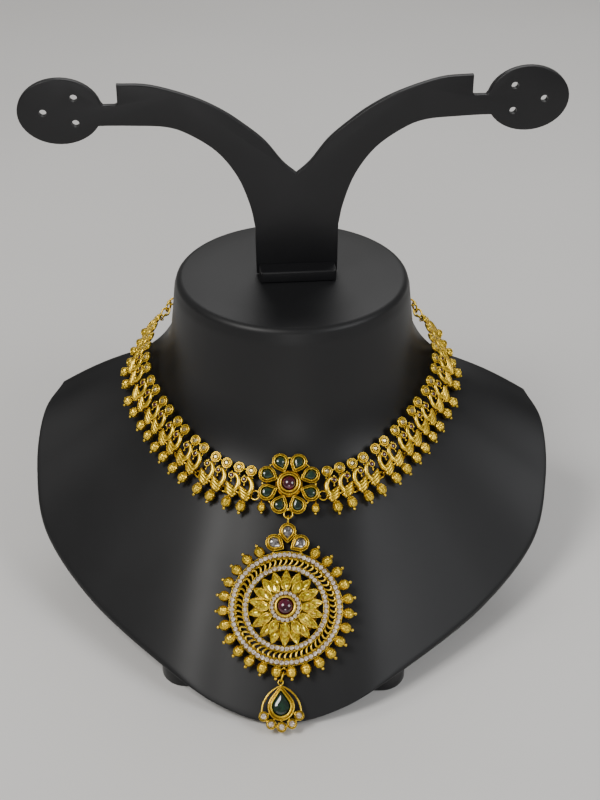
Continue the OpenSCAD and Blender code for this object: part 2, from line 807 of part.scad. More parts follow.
// Petals lie on the cone, from radius inner outwards.
module petal_row(n, inner, outer, w, z_in, z_out, t) {
    run = outer - inner;
    dip = atan((z_in - z_out) / run);
    for (i = [0:n - 1])
        rotate([0, 0, 90 + 360 * i / n])
            translate([inner, 0, z_in])
                rotate([0, dip, 0])
                    linear_extrude(t) polygon(leaf(run / cos(dip), w));
}

module boss() {
    rotate_extrude() polygon([
        [0, back_z + 2.4], [boss_r - 2, back_z + 2.4], [12.6, back_z], [13.4, back_z], [13.4, plate_z],
        [boss_r, boss_h * 0.52], [halo_out, boss_h * 0.62], [halo_out, boss_h * 0.8],
        [halo_out - 0.3, boss_h * 0.84], [halo_out - 0.35, boss_h * 0.72], [halo_in + 0.1, boss_h * 0.72],
        [crown_r, boss_h * 0.95], [crown_r - 0.25, boss_h], [3.05, boss_h], [2.9, boss_h * 0.75],
        [0, boss_h * 0.75]
    ]);
}

fringe_step = 360 / fringe_n;
module each_fringe() {
    skip = (fringe_free - 1) / 2;
    for (i = [skip + 1:fringe_n - 1 - skip])
        rotate([0, 0, i * fringe_step])
            children();
}

module each_trefoil() {
    translate([trefoil_top[0], trefoil_top[1], 0]) children();
    for (s = [-1, 1])
        translate([s * trefoil_side[0], trefoil_side[1], 0])
            rotate([0, 0, -s * trefoil_turn]) children();
}

bail_r = 1.6;
bail_wire = 0.38;
low_eye_r = 1.15;
low_eye_wire = 0.3;
module pendant_metal() {
    color(gold)
    at_frame(disc_frame) {
        pave_ring(pave_out, pave_in, -0.6, pave_top, pave_seat);
        pave_ring(inner_out, inner_in, back_z, pave_top + 0.9, pave_seat + 0.9);
        crescent_row();
        boss();
        petal_row(outer_petals, 6.2, inner_in + 0.25, 3.8, 3.6, 0.9, 0.7);
        petal_row(inner_petals, 5.6, 11.7, 3.5, 4.9, 2.6, 0.8);
        each_fringe()
            translate([0, fringe_at, 0]) rotate([0, 0, 180]) bead(bead_r, tip_r, collar_r, bead_r + 0.5);
        each_trefoil() pear_setting(trefoil_r, trefoil_tip, trefoil_seat, trefoil_rim);
        for (s = [-1, 1]) {
            translate([s * 3.4, pave_out + 6.85, ball_z]) sphere(0.7);
            translate([s * 5.4, pave_out - 0.7, ball_z]) sphere(1);
        }
        translate([0, bail_y, 0]) rotate([0, 90, 0]) ring(bail_r, bail_wire);
        translate([0, bail_y - bail_r - 0.1, 0]) sphere(0.62);
        translate([0, eye_low_y, 0]) ring(low_eye_r, low_eye_wire);
        translate([0, eye_low_y + low_eye_r + 0.15, 0]) sphere(0.62);
    }
}

module pendant_pave() {
    color(white)
    at_frame(disc_frame)
        for (i = [0:pave_n - 1])
            rotate([0, 0, 360 * (i + 0.5) / pave_n])
                translate([0, pave_mid, pave_seat + 0.68])
                    round_stone(0.86, 0.35, 0.6);
}

module trefoil_stones() {
    color(white)
    at_frame(disc_frame)
        each_trefoil()
            translate([0, 0, trefoil_rim * 0.3 + 0.7])
                pear_stone(trefoil_seat - 0.05, trefoil_tip * trefoil_seat / trefoil_r - 0.08, 0.6, 0.65);
}

module pendant_ruby() {
    color(red)
    at_frame(disc_frame)
        translate([0, 0, boss_h * 0.75 + 0.05]) dome_stone(2.82, 2.7);
}

// Drop.

function turned(a) =
    [[cos(a), -sin(a), 0, 0], [sin(a), cos(a), 0, 0], [0, 0, 1, 0], [0, 0, 0, 1]];
drop_frame = chest_frame(drop_x, drop_d, drop_lift) * turned(drop_turn);
small_r = 1.95;
small_at = 7.65;
small_step = 31.5;
small_seat = 1.2;
drop_seat = 3.5;
drop_top = 2.1;
drop_eye_y = drop_tip + 0.95;
arch_at = [3, -2.3];
arch_r = 10.6;
arch_start = 104;
arch_turn = 76;
function small_angle(i) = -90 + small_step * (i - 2);

module drop_metal() {
    color(gold)
    at_frame(drop_frame) {
        rotate([0, 0, 180]) pear_setting(drop_r, drop_tip, drop_seat, drop_top);
        for (i = [0:4])
            rotate([0, 0, small_angle(i)])
                translate([small_at, 0, 0]) {
                    round_setting(small_r, small_seat, 1.5);
                    translate([-small_r - 0.35, 0, 0.2]) sphere(0.62);
                }
        for (i = [0:3])
            rotate([0, 0, small_angle(i + 0.5)])
                translate([small_at, 0, 0.3]) sphere(0.6);
        for (side = [-1, 1])
            translate([side * arch_at[0], arch_at[1], 0.3])
                bent_rod(arch_r, 0.38, arch_start, arch_turn, side);
        translate([0, drop_eye_y, 0]) ring(0.95, 0.3);
        translate([0, drop_tip - 0.35, 0.2]) sphere(0.75);
    }
}

module drop_emerald() {
    color(green)
    at_frame(drop_frame)
        translate([0, 0, drop_top * 0.3 + 0.85])
            rotate([0, 0, 180])
                pear_stone(drop_seat - 0.06, drop_tip * drop_seat / drop_r - 0.1, 0.95, 0.8);
}

module drop_whites() {
    color(white)
    at_frame(drop_frame)
        for (i = [0:4])
            rotate([0, 0, small_angle(i)])
                translate([small_at, 0, 1.15]) round_stone(small_seat - 0.06, 0.4, 0.66);
}

drop_ring_play = 0.2;
module drop_ring() {
    a = in_frame(disc_frame, [0, eye_low_y, 0]);
    b = in_frame(drop_frame, [0, drop_eye_y, 0]);
    color(gold)
    at_frame(frame((a + b) / 2, b - a, chest_out))
        rotate([90, 0, 0]) ring(norm(b - a) / 2 - drop_ring_play, 0.3);
}

// Back chain.

module oval_link() {
    half = link_len / 2 - link_w / 2;
    r = link_w / 2 - link_wire;
    for (s = [0, 180])
        rotate([0, 0, s])
            translate([half, 0, 0])
                rotate([0, 0, -90])
                    rotate_extrude(angle = 180) translate([r, 0]) circle(link_wire);
    for (s = [-1, 1])
        translate([-half, s * r, 0])
            rotate([0, 90, 0]) cylinder(h = 2 * half, r = link_wire);
}

// The chain starts in the last jump ring: the first link holds the ring's far side.
ring_mid = in_frame(end_frame, [0, 0, ring_z]);
chain_route = route(concat([ring_mid], chain_keys));
link_end = link_len / 2 - link_wire;
chain_play = 0.1;
chain_from = ring_r - ring_wire - link_wire - chain_play + link_end;
clasp_eye_x = clasp_len / 2 + clasp_eye_r;
chain_to = route_length(chain_route) - clasp_eye_x
    + clasp_eye_r - 2 * link_wire - chain_play - link_end;
link_pitch = (chain_to - chain_from) / (side_links - 1);
function chain_frame(i) =
    let(s = chain_from + link_pitch * i,
        a = along(chain_route, s - link_end),
        b = along(chain_route, min(s + link_end, route_length(chain_route))),
        o = (a + b) / 2)
    frame(o, b - a, unit([o[0], o[1], 0]));

module chain_links(first) {
    color(gold)
    for (side = [-1, 1])
        for (i = [first:2:side_links - 1])
            at_side(chain_frame(i), side)
                rotate([i % 2 == 0 ? 90 : 0, 0, 0]) oval_link();
}

module chain_even() {
    chain_links(0);
}

module chain_odd() {
    chain_links(1);
}

// The clasp is one barrel with an eye at each end, turned across the last chain link.
module clasp() {
    color(gold)
    at_side(frame(chain_keys[len(chain_keys) - 1], [1, 0, 0], [0, 0, 1]), 1) {
        rotate([0, 90, 0]) cylinder(h = clasp_len, r = clasp_r, center = true);
        for (s = [-1, 1])
            translate([s * clasp_eye_x, 0, 0])
                rotate([side_links % 2 == 0 ? 0 : 90, 0, 0]) ring(clasp_eye_r, link_wire);
    }
}

// Shown parts.

bust_body();
base_foot();
earring_stand();
for (k = [0:pairs - 1]) {
    peacock_link(k, -1);
    peacock_link(k, 1);
}
link_stones();
peacock_rubies();
jump_rings();
flower_metal();
flower_emeralds();
flower_ruby();
pendant_metal();
pendant_pave();
trefoil_stones();
pendant_ruby();
drop_ring();
drop_metal();
drop_emerald();
drop_whites();
chain_even();
chain_odd();
clasp();
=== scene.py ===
"""Temple jewellery necklace on a neck bust with arms for earrings.

Lengths in this script are in millimetres, as in the part's source, until a mesh is made in metres.
The distances and scales of materials and lights are in metres.
"""

from math import acos, asin, atan, cos, hypot, pi, radians, sin, sqrt

import bpy
import numpy as np
from mathutils import Matrix, Vector


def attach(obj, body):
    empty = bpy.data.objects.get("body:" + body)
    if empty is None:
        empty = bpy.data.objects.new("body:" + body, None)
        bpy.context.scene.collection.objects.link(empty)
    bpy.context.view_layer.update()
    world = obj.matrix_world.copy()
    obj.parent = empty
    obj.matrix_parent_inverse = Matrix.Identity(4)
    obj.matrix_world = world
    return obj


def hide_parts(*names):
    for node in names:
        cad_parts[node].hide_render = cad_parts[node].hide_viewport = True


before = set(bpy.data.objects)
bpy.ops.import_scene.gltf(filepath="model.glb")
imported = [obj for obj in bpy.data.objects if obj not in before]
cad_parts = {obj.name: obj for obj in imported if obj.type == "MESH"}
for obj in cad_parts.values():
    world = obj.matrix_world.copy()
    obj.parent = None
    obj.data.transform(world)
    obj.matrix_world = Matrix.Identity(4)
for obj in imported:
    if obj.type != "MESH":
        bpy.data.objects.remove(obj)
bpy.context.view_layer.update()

MM = 0.001


# Small vector helpers

def vec(*p):
    return np.array(p, float)


def unit(v):
    v = np.asarray(v, float)
    return v / np.linalg.norm(v)


def lerp(a, b, f):
    return a + (b - a) * f


def smooth_at(keys, u):
    """Point on a smooth curve through all keys but the two outer ones, which only bend it."""
    i = min(len(keys) - 4, int(u))
    a, b, c, d = keys[i:i + 4]
    f = u - i
    return (b + (c - a) * f / 2
            + (2 * a - 5 * b + 4 * c - d) * f * f / 2
            + (3 * b - a - 3 * c + d) * f ** 3 / 2)


def smooth_line(keys, steps):
    """Points of that curve, with steps between two keys."""
    return [smooth_at(keys, k / steps) for k in range((len(keys) - 3) * steps + 1)]


def curve_through(points, steps):
    """Points of a smooth curve through all the given ones."""
    p = np.array(points, float)
    return smooth_line([2 * p[0] - p[1], *p, 2 * p[-1] - p[-2]], steps)


def make_frame(o, ax, az):
    """A place with its origin at o, x along ax and z near az."""
    x = unit(ax)
    y = unit(np.cross(az, x))
    z = np.cross(x, y)
    m = np.eye(4)
    m[:3, 0], m[:3, 1], m[:3, 2], m[:3, 3] = x, y, z, o
    return m


def move(x=0, y=0, z=0):
    m = np.eye(4)
    m[:3, 3] = (x, y, z)
    return m


def turn(axis, degrees):
    a = radians(degrees)
    c, s = cos(a), sin(a)
    m = np.eye(4)
    i, j = {"x": (1, 2), "y": (2, 0), "z": (0, 1)}[axis]
    m[i, i], m[i, j], m[j, i], m[j, j] = c, -s, s, c
    return m


def around(n, shift=0):
    """Turns about z by equal steps, the first by shift steps."""
    return [turn("z", 360 * (i + shift) / n) for i in range(n)]


def in_frame(m, p):
    """A point given in the place m."""
    return (m @ (*p, 1))[:3]


# Meshes

def new_object(name, data):
    o = bpy.data.objects.new(name, data)
    bpy.context.scene.collection.objects.link(o)
    return o


class Shape:
    """Vertices and faces of one form. Faces carry a material number and a smooth flag."""

    def __init__(self):
        self.verts = []
        self.faces = []
        self.mats = []
        self.soft = []
        self.count = 0

    def add(self, mesh, at=None, mat=0, soft=True):
        """Adds a mesh, given as its vertices and faces, at a place."""
        verts, faces = mesh
        verts = np.asarray(verts, float)
        if at is not None:
            verts = verts @ at[:3, :3].T + at[:3, 3]
            if np.linalg.det(at[:3, :3]) < 0:
                faces = [tuple(reversed(f)) for f in faces]
        n = self.count
        self.verts.append(verts)
        self.faces += [tuple(i + n for i in f) for f in faces]
        self.mats += [mat] * len(faces)
        self.soft += [soft] * len(faces)
        self.count += len(verts)
        return self

    def join(self, other, at=None):
        """Adds another form with its materials and smooth flags."""
        n = len(self.mats)
        self.add((np.concatenate(other.verts), other.faces), at)
        self.mats[n:] = other.mats
        self.soft[n:] = other.soft
        return self

    def mesh(self, name):
        """The Blender mesh, in metres."""
        mesh = bpy.data.meshes.new(name)
        mesh.from_pydata((np.concatenate(self.verts) * MM).tolist(), [], self.faces)
        mesh.polygons.foreach_set("material_index", self.mats)
        mesh.polygons.foreach_set("use_smooth", self.soft)
        return mesh

    def piece(self, name, materials, slot, *nodes):
        """Makes the Blender object, lets it ride on the part and stand for CAD nodes."""
        mesh = self.mesh(name)
        for m in materials:
            mesh.materials.append(m)
        mesh.update()
        mesh.validate()
        o = new_object(name, mesh)
        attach(o, "root")
        for node in nodes:
            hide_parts(node)
        return o

    def in_gold(self, name, node):
        self.piece(name, [GOLD], "gold", node)


def skin(rings, closed=True, cap_low=False, cap_high=False):
    """Quads between rings of equal length. Rings turn anticlockwise seen from the end side."""
    rings = np.asarray(rings, float)
    m, n = rings.shape[:2]
    verts = rings.reshape(-1, 3)
    faces = []
    span = n if closed else n - 1
    for i in range(m - 1):
        for j in range(span):
            k = (j + 1) % n
            faces.append((i * n + j, i * n + k, (i + 1) * n + k, (i + 1) * n + j))
    if cap_low:
        verts = np.vstack([verts, rings[0].mean(0)])
        c = len(verts) - 1
        faces += [(c, (j + 1) % n, j) for j in range(n)]
    if cap_high:
        verts = np.vstack([verts, rings[-1].mean(0)])
        c = len(verts) - 1
        b = (m - 1) * n
        faces += [(c, b + j, b + (j + 1) % n) for j in range(n)]
    return verts, faces


def circle_points(n, r=1, start=0):
    a = start + np.arange(n) * 2 * np.pi / n
    return np.stack([r * np.cos(a), r * np.sin(a)], -1)


def lathe(profile, n, flute=None):
    """Turns (r, z) points about z, from the lowest outwards and up. flute bends each radius."""
    verts, rows, faces = [], [], []
    a = np.arange(n) * 2 * np.pi / n
    for r, z in profile:
        if r == 0:
            rows.append([len(verts)] * n)
            verts.append((0, 0, z))
            continue
        rr = np.full(n, r) if flute is None else flute(r, z, a)
        rows.append(range(len(verts), len(verts) + n))
        verts += list(np.stack([rr * np.cos(a), rr * np.sin(a), np.full(n, z)], -1))
    for lo, hi in zip(rows, rows[1:]):
        for j in range(n):
            k = (j + 1) % n
            # A quad that ends on the axis becomes a triangle.
            faces.append(tuple(dict.fromkeys((lo[j], lo[k], hi[k], hi[j]))))
    return np.array(verts, float), faces


# Upward, and a direction that no rod follows.
UP = (0, 0, 1)
SKEW = (0.31, 0.17, 0.93)


def tube(path, radius, n=10, closed=False, flat=1, up=None):
    """A round rod along a path. flat squeezes it along its up direction."""
    path = np.asarray(path, float)
    count = len(path)
    radius = np.broadcast_to(np.asarray(radius, float), (count,))
    if closed:
        way = np.roll(path, -1, 0) - np.roll(path, 1, 0)
    else:
        way = np.gradient(path, axis=0)
    way /= np.linalg.norm(way, axis=1)[:, None]
    up = unit(up) if up is not None else unit(np.cross(way[0], SKEW))
    rings = []
    for p, t, r in zip(path, way, radius):
        b = unit(up - t * (up @ t))
        s = np.cross(t, b)
        c = circle_points(n, r)
        rings.append(p + c[:, :1] * s + c[:, 1:] * b * flat)
        if not closed:
            up = b
    if closed:
        rings.append(rings[0])
        return skin(rings)
    return skin(rings, cap_low=True, cap_high=True)


def hoop(r, wire, n, k=10, narrow=1):
    """A ring of wire about z, with k sides. narrow squeezes it along y."""
    path = np.column_stack([circle_points(n, r) * (1, narrow), np.zeros(n)])
    return tube(path, wire, n=k, closed=True, up=UP)


def ball(r, n):
    m = max(6, n // 2)
    prof = [(r * sin(pi * i / m), -r * cos(pi * i / m)) for i in range(1, m)]
    return lathe([(0, -r)] + prof + [(0, r)], n)


def rod(r, low, high, n):
    """A plain round rod about z."""
    return lathe([(0, low), (r, low), (r, high), (0, high)], n)


# Materials

def new_material(name):
    """A material with its node tree and its shader."""
    m = bpy.data.materials.new(name)
    m.use_nodes = True
    return m, m.node_tree, m.node_tree.nodes["Principled BSDF"]


def fill(nt, n, **values):
    """Gives a node's settings and sockets, with _ for a space, a value or another node's output."""
    for k, v in values.items():
        socket = k.replace("_", " ")
        if hasattr(n, k):
            setattr(n, k, v)
        elif isinstance(v, bpy.types.NodeSocket):
            nt.links.new(v, n.inputs[socket])
        else:
            n.inputs[socket].default_value = v


def node(nt, kind, output, **values):
    """An output of a new node."""
    n = nt.nodes.new("ShaderNode" + kind)
    fill(nt, n, **values)
    return n.outputs[output]


def ramp(nt, value, *stops):
    """A colour ramp over the value, with a colour at each of two positions."""
    n = nt.nodes.new("ShaderNodeValToRGB")
    for e, (pos, col) in zip(n.color_ramp.elements, stops):
        e.position = pos
        e.color = (*col, 1)
    nt.links.new(value, n.inputs["Fac"])
    return n.outputs["Color"]


def noise(nt, scale, detail, rough):
    """Noise in the object's own coordinates."""
    place = node(nt, "TexCoord", "Object")
    return node(nt, "TexNoise", "Fac", Vector=place, Scale=scale, Detail=detail, Roughness=rough)


def grained(nt, height, strength, depth):
    """Normals of a bumped surface."""
    return node(nt, "Bump", "Normal", Height=height, Strength=strength, Distance=depth)


def uneven(nt, value, low, high, **span):
    """Runs from low to high with the value."""
    return node(nt, "MapRange", "Result", Value=value, To_Min=low, To_Max=high, **span)


# Width of the recesses that get brown painted shade, and depth of the cast pits.
PAINTED_SHADE_REACH = 0.0009
PIT = 0.00006


def gold_material(name, bright, deep, rough, grain):
    """Gold: brown painted shade in the recesses, warm on the faces, finely pitted by casting."""
    m, nt, b = new_material(name)
    fine, wide = noise(nt, grain, 6, 0.6), noise(nt, grain * 0.12, 3, 0.5)
    tone = ramp(nt, wide, (0.3, lerp(vec(*deep), vec(*bright), 0.72)), (0.62, bright))
    # Painted shade: ambient occlusion mixes the deep brown into the gold where nearby metal closes it in.
    open_share = node(nt, "AmbientOcclusion", "AO", samples=8, Distance=PAINTED_SHADE_REACH)
    dark = ramp(nt, open_share, (0.36, (1, 1, 1)), (0.86, (0, 0, 0)))
    mix = node(nt, "Mix", "Result", data_type="RGBA", Factor=dark, A=tone, B=(*deep, 1))
    gloss = uneven(nt, fine, rough - 0.07, rough + 0.1, From_Min=0.35, From_Max=0.7)
    fill(nt, b, Base_Color=mix, Metallic=1, Roughness=gloss, Normal=grained(nt, fine, 0.35, PIT))
    return m


def stone_material(name, dark, light, scale, rough, metal=0, spread=(0.35, 0.65), coat=0.6):
    """A stone over foil, whose tone changes from facet to facet and stone to stone: painted sparkle and
    shade over the stone's own uneven colour.
    """
    m, nt, b = new_material(name)
    # Painted sparkle and shade: noise paints patches of the facets lighter and darker, besides the stone's
    # own uneven colour.
    tone = ramp(nt, noise(nt, scale, 3, 0.55), (spread[0], dark), (spread[1], light))
    fill(nt, b, Base_Color=tone, Metallic=metal, Roughness=rough, IOR=1.75, Coat_Weight=coat,
         Coat_Roughness=0.02)
    return m


def black_material(name, tone, rough, grain, depth):
    """Satin black moulding with a faint grain and slightly uneven gloss."""
    m, nt, b = new_material(name)
    wide, fine = noise(nt, 22, 3, 0.6), noise(nt, grain, 5, 0.55)
    col = ramp(nt, wide, (0.3, [c * 0.88 for c in tone]), (0.7, [c * 1.12 for c in tone]))
    fill(nt, b, Base_Color=col, Roughness=uneven(nt, wide, rough - 0.05, rough + 0.07), IOR=1.4,
         Normal=grained(nt, fine, 0.3, depth))
    return m


GOLD = gold_material("gold_with_painted_shade", (0.97, 0.665, 0.065), (0.085, 0.036, 0.003), rough=0.3, grain=2600)
YELLOW = stone_material("yellow_stone", (0.42, 0.24, 0.004), (1, 0.8, 0.03), scale=1100, rough=0.1,
                        metal=0.5, spread=(0.42, 0.58), coat=0.3)
RUBY = stone_material("ruby", (0.018, 0.0003, 0.004), (0.11, 0.0015, 0.024), scale=420, rough=0.09, coat=0.1)
GARNET = stone_material("small_ruby", (0.02, 0.001, 0.003), (0.09, 0.006, 0.012), scale=900, rough=0.08)
EMERALD = stone_material("emerald", (0.0005, 0.005, 0.002), (0.005, 0.04, 0.018), scale=620, rough=0.09,
                         coat=0.25)
WHITE = stone_material("clear_stone", (0.45, 0.33, 0.25), (1, 0.92, 0.81), scale=1500, rough=0.1,
                       metal=0.35, spread=(0.4, 0.6), coat=0.4)
HONEY = stone_material("champagne_stone", (0.16, 0.11, 0.03), (0.8, 0.66, 0.34), scale=1300, rough=0.14,
                       metal=0.55, coat=0.2)
POLKI = stone_material("flat_diamond", (0.045, 0.04, 0.042), (0.52, 0.49, 0.48), scale=800, rough=0.06,
                       metal=0.6)
BUST_BLACK = black_material("bust_satin_black", (0.0085, 0.0087, 0.0095), 0.44, grain=1500, depth=0.00005)
STAND_BLACK = black_material("stand_satin_black", (0.008, 0.008, 0.009), 0.36, grain=1800, depth=0.00003)


# Neck bust, with the same sizes as the part's source but many more sections

NECK_TOP_Z = 124.5
NECK_TOP_R = 49.5
NECK_LOW_R = 55
NECK_FLARE = 49
THROAT_Z = 75.5
SIDE_Z = 87
CREASE = 18
# Half the chest's turn round the neck, in degrees, and where the plain back starts.
SWING = 102
BACK_START = SWING + 4
# Share of the front skin that is the bend from the neck.
BEND_SHARE = 0.3
RIDGE = 1.5
# The rim under the edge: how far in, most down and most up, height above the base.
RIM_IN, RIM_DROP, RIM_RISE, RIM_LOW = 7, 5, 3, 1.6
# Roundness of the neck's top edge.
TOP_SOFT = 3.2
SOLE_HALF = 44
SOLE_FRONT = 124
BASE_H = 8
EDGE = np.array([[0, -142, 1.5], [23, -136.5, 4], [45, -123, 10], [81, -88, 15], [106, -54, 24],
                 [113, -30, 41], [112, -10, 57], [105, 4, 64.5]])


EDGE_KEYS = [EDGE[1] * (-1, 1, 1), *EDGE, 2 * EDGE[-1] - EDGE[-2]]


def edge(t):
    """Point of the chest's edge: t from the middle to the shoulder."""
    return smooth_at(EDGE_KEYS, abs(t) * (len(EDGE) - 1)) * (-1 if t < 0 else 1, 1, 1)


def neck_r(z):
    return lerp(NECK_TOP_R, NECK_LOW_R, min(1, (NECK_TOP_Z - z) / NECK_FLARE))


def about(r, degrees, z):
    """Point at a radius and an angle from the front."""
    a = radians(degrees)
    return vec(r * sin(a), -r * cos(a), z)


def crease_z(t):
    full = 1 - cos(radians(SWING))
    return lerp(THROAT_Z, SIDE_Z, (1 - cos(radians(SWING * t))) / full)


def chest(t, s):
    """Point of the front skin: t from the middle to the shoulder, s from the neck to the edge."""
    q = abs(t)
    z = crease_z(q)
    c = about(neck_r(z), SWING * q, z)
    low = c + unit(edge(q) - c) * CREASE
    if s < BEND_SHARE:
        f = s / BEND_SHARE
        a = about(neck_r(z + CREASE), SWING * q, z + CREASE)
        p = a * (1 - f) ** 2 + c * 2 * f * (1 - f) + low * f * f
    else:
        f = (s - BEND_SHARE) / (1 - BEND_SHARE)
        p = lerp(low, edge(q), f) + vec(0, 0, RIDGE * q ** 4 * sin(pi * f))
    return p * (-1, 1, 1) if t < 0 else p


def chest_rim(t):
    """Point of the rim that is turned in under the edge."""
    e = edge(t)
    rise = max(-RIM_DROP, min(RIM_RISE, BASE_H + RIM_LOW - e[2]))
    return e + unit([-e[0], -e[1], 0]) * RIM_IN + vec(0, 0, rise)


def sole(t):
    """Edge of the flat underside. Behind the neck's middle it is half as deep."""
    a = radians(SWING * t)
    depth = SOLE_FRONT * (1 if abs(a) < pi / 2 else 0.5)
    return vec(SOLE_HALF * sin(a), -depth * cos(a), BASE_H + 0.1)


# Sections from the middle to a shoulder, and from a shoulder to the middle of the back.
HALF = 84
BACK = 30
# Sections from the neck to the chest's edge, and shares round that edge.
SLOPE = 60
EDGE_SHARES = (0.1, 0.25, 0.4, 0.55, 0.7, 0.85, 1)
EDGE_BLEND = 0.35


def whole_ring(front):
    """Closes a row of front points round the back, at the height of its last point."""
    last = front[-1]
    r = min(neck_r(last[2]), hypot(last[0], last[1]))
    out = list(front)
    for j in range(1, 2 * BACK):
        f = (min(j, 2 * BACK - j) - 1) / (BACK - 1)
        side = 1 if j <= BACK else -1
        out.append(about(r, side * lerp(BACK_START, 180, f), last[2]))
    return out


def neck_ring(z, r):
    return whole_ring([about(r, SWING * j / HALF, z) for j in range(-HALF, HALF + 1)])


def bust_rings():
    """Rings from the neck's top over the chest and its edge to the sole, given from the lowest."""
    ts = [j / HALF for j in range(-HALF, HALF + 1)]
    rings = [neck_ring(NECK_TOP_Z, r) for r in (2, 18, 36)]
    for degrees in range(0, 91, 15):
        a = radians(degrees)
        rings.append(neck_ring(NECK_TOP_Z - TOP_SOFT * (1 - cos(a)),
                               NECK_TOP_R - TOP_SOFT * (1 - sin(a))))
    rings += [neck_ring(z, neck_r(z)) for z in (120, 117, 114, 111)]
    for i in range(1, SLOPE - 1):
        rings.append(whole_ring([chest(t, i / SLOPE) for t in ts]))
    start = (SLOPE - 2) / SLOPE
    for f in EDGE_SHARES:
        row = []
        for t in ts:
            a, e, r = chest(t, start), edge(t), chest_rim(t)
            row.append(a * (1 - f) ** 2 + e * 2 * f * (1 - f) + lerp(e, r, EDGE_BLEND) * f * f)
        rings.append(whole_ring(row))
    rings.append(whole_ring([chest_rim(t) for t in ts]))
    rings.append(whole_ring([sole(t) for t in ts]))
    return rings[::-1]


def build_bust():
    s = Shape().add(skin(bust_rings(), cap_low=True, cap_high=True))
    s.piece("bust_skin", [BUST_BLACK], "stand_black", "bust_body")


# Base plate and earring stand, with rounded edges

BEVEL_STEPS = 4


def extruded(outline, low, high, bevel, at):
    """A flat plate with rounded upper and lower edges, from a simple outline turned anticlockwise."""
    outline = np.asarray(outline, float)

    def normals(way):
        way = way / np.linalg.norm(way, axis=1)[:, None]
        return np.stack([way[:, 1], -way[:, 0]], -1)

    near = normals(outline - np.roll(outline, 1, 0))
    normal = near + normals(np.roll(outline, -1, 0) - outline)
    normal /= np.maximum(0.5, (normal * near).sum(1))[:, None]
    turns = [pi / 2 * i / BEVEL_STEPS for i in range(BEVEL_STEPS + 1)]
    levels = [(-bevel * (1 - sin(a)), low + bevel * (1 - cos(a))) for a in turns]
    levels += [(-bevel * (1 - cos(a)), high - bevel * (1 - sin(a))) for a in turns]
    n = len(outline)
    verts, faces = skin([np.column_stack([outline + normal * off, np.full(n, z)]) for off, z in levels])
    top = len(verts) - n
    faces.append(tuple(range(n))[::-1])
    faces.append(tuple(top + j for j in range(n)))
    return Shape().add((verts, faces), at)


def rounded_box(w, d, r, n):
    """Outline of a rectangle with round corners of n steps each."""
    pts = []
    for i, (sx, sy) in enumerate(((1, 1), (-1, 1), (-1, -1), (1, -1))):
        for k in range(n + 1):
            a = radians(90 * (i + k / n))
            pts.append((sx * (w / 2 - r) + r * cos(a), sy * (d / 2 - r) + r * sin(a)))
    return pts


BASE_W, BASE_D, BASE_R, BASE_Y, BASE_BEVEL = 98, 170, 10, -35, 0.8
PLATE_T, PLATE_TURN, PLATE_X, PLATE_BEVEL = 3, 6.5, 2, 0.45
FOOT_W, FOOT_D, FOOT_H, FOOT_R, FOOT_BEVEL, FOOT_GAP = 32, 18, 5, 1.2, 0.6, 0.1
# A paddle's half axes, its middle, and the angle at which it meets the arm below.
PADDLE = (16.5, 13.2)
PADDLE_AT = (92.5, 199)
PADDLE_END = -152
HOLES = ((99, 198.8), (86.7, 204.5), (86.7, 194.2))
HOLE_R = 1.5
PIN_HALF = 4
# Right arm of the fork: upper edge, step down to the slot, lower edge to the stem.
ARM_TOP = [(0, 170), (5.5, 175), (12.5, 184), (20.5, 191), (29.5, 197.5), (41, 203.3), (57, 208.3),
           (70, 209.2)]
ARM_STEP = [(70, 202.2), (70.4, 201.3), (71.2, 201), (75.6, 201)]
ARM_LOW = [(77.2, 192.9), (65, 192.5), (52, 191.6), (43, 188.3), (32, 180.5), (24, 169.5), (19.3, 157),
           (17.3, 147)]
ARM_STEPS = 5
STEM_HALF = 17


def stand_outline():
    """Outline of the fork with its slots and paddles, anticlockwise seen from the front."""
    half = curve_through(ARM_TOP, ARM_STEPS)
    half += [vec(*p) for p in ARM_STEP]
    (cx, cy), (rx, ry) = PADDLE_AT, PADDLE
    start = 180 - np.degrees(asin((ARM_STEP[0][1] - cy) / ry))
    for a in np.radians(np.linspace(start, PADDLE_END, 41)):
        half.append(vec(cx + rx * cos(a), cy + ry * sin(a)))
    half += curve_through(ARM_LOW, ARM_STEPS)[1:]
    half.append(vec(STEM_HALF, NECK_TOP_Z + 1))
    left = [p * (-1, 1) for p in half[:0:-1]]
    return (half + left)[::-1]


def flat_shade(mesh, degrees):
    """Smooth shading, but sharp where faces meet at more than the angle."""
    mesh.shade_smooth()
    mesh.set_sharp_from_angle(angle=radians(degrees))


def build_stand():
    """The forked plate with bored holes, and its foot block."""
    place = move(PLATE_X) @ turn("z", PLATE_TURN)
    flat = turn("x", 90)
    plate = extruded(stand_outline(), -PLATE_T / 2, PLATE_T / 2, PLATE_BEVEL, place @ flat)
    piece = plate.piece("stand_plate", [STAND_BLACK], "stand_black", "earring_stand")
    # The cutter of the holes is removed again.
    pins = Shape()
    for side in (-1, 1):
        for x, z in HOLES:
            pins.add(rod(HOLE_R, -PIN_HALF, PIN_HALF, 28), place @ move(side * x, 0, z) @ flat)
    cutter = new_object("hole_pins", pins.mesh("hole_pins"))
    mod = piece.modifiers.new("holes", "BOOLEAN")
    mod.object = cutter
    mod.operation = "DIFFERENCE"
    mod.solver = "EXACT"
    bpy.context.view_layer.update()
    bored = piece.evaluated_get(bpy.context.evaluated_depsgraph_get())
    done = bpy.data.meshes.new_from_object(bored)
    piece.modifiers.clear()
    piece.data = done
    bpy.data.objects.remove(cutter)
    flat_shade(done, 30)
    foot = extruded(rounded_box(FOOT_W, FOOT_D, FOOT_R, 5), FOOT_GAP, FOOT_GAP + FOOT_H, FOOT_BEVEL,
                    place @ move(z=NECK_TOP_Z))
    flat_shade(foot.piece("stand_foot", [STAND_BLACK], "stand_black").data, 40)


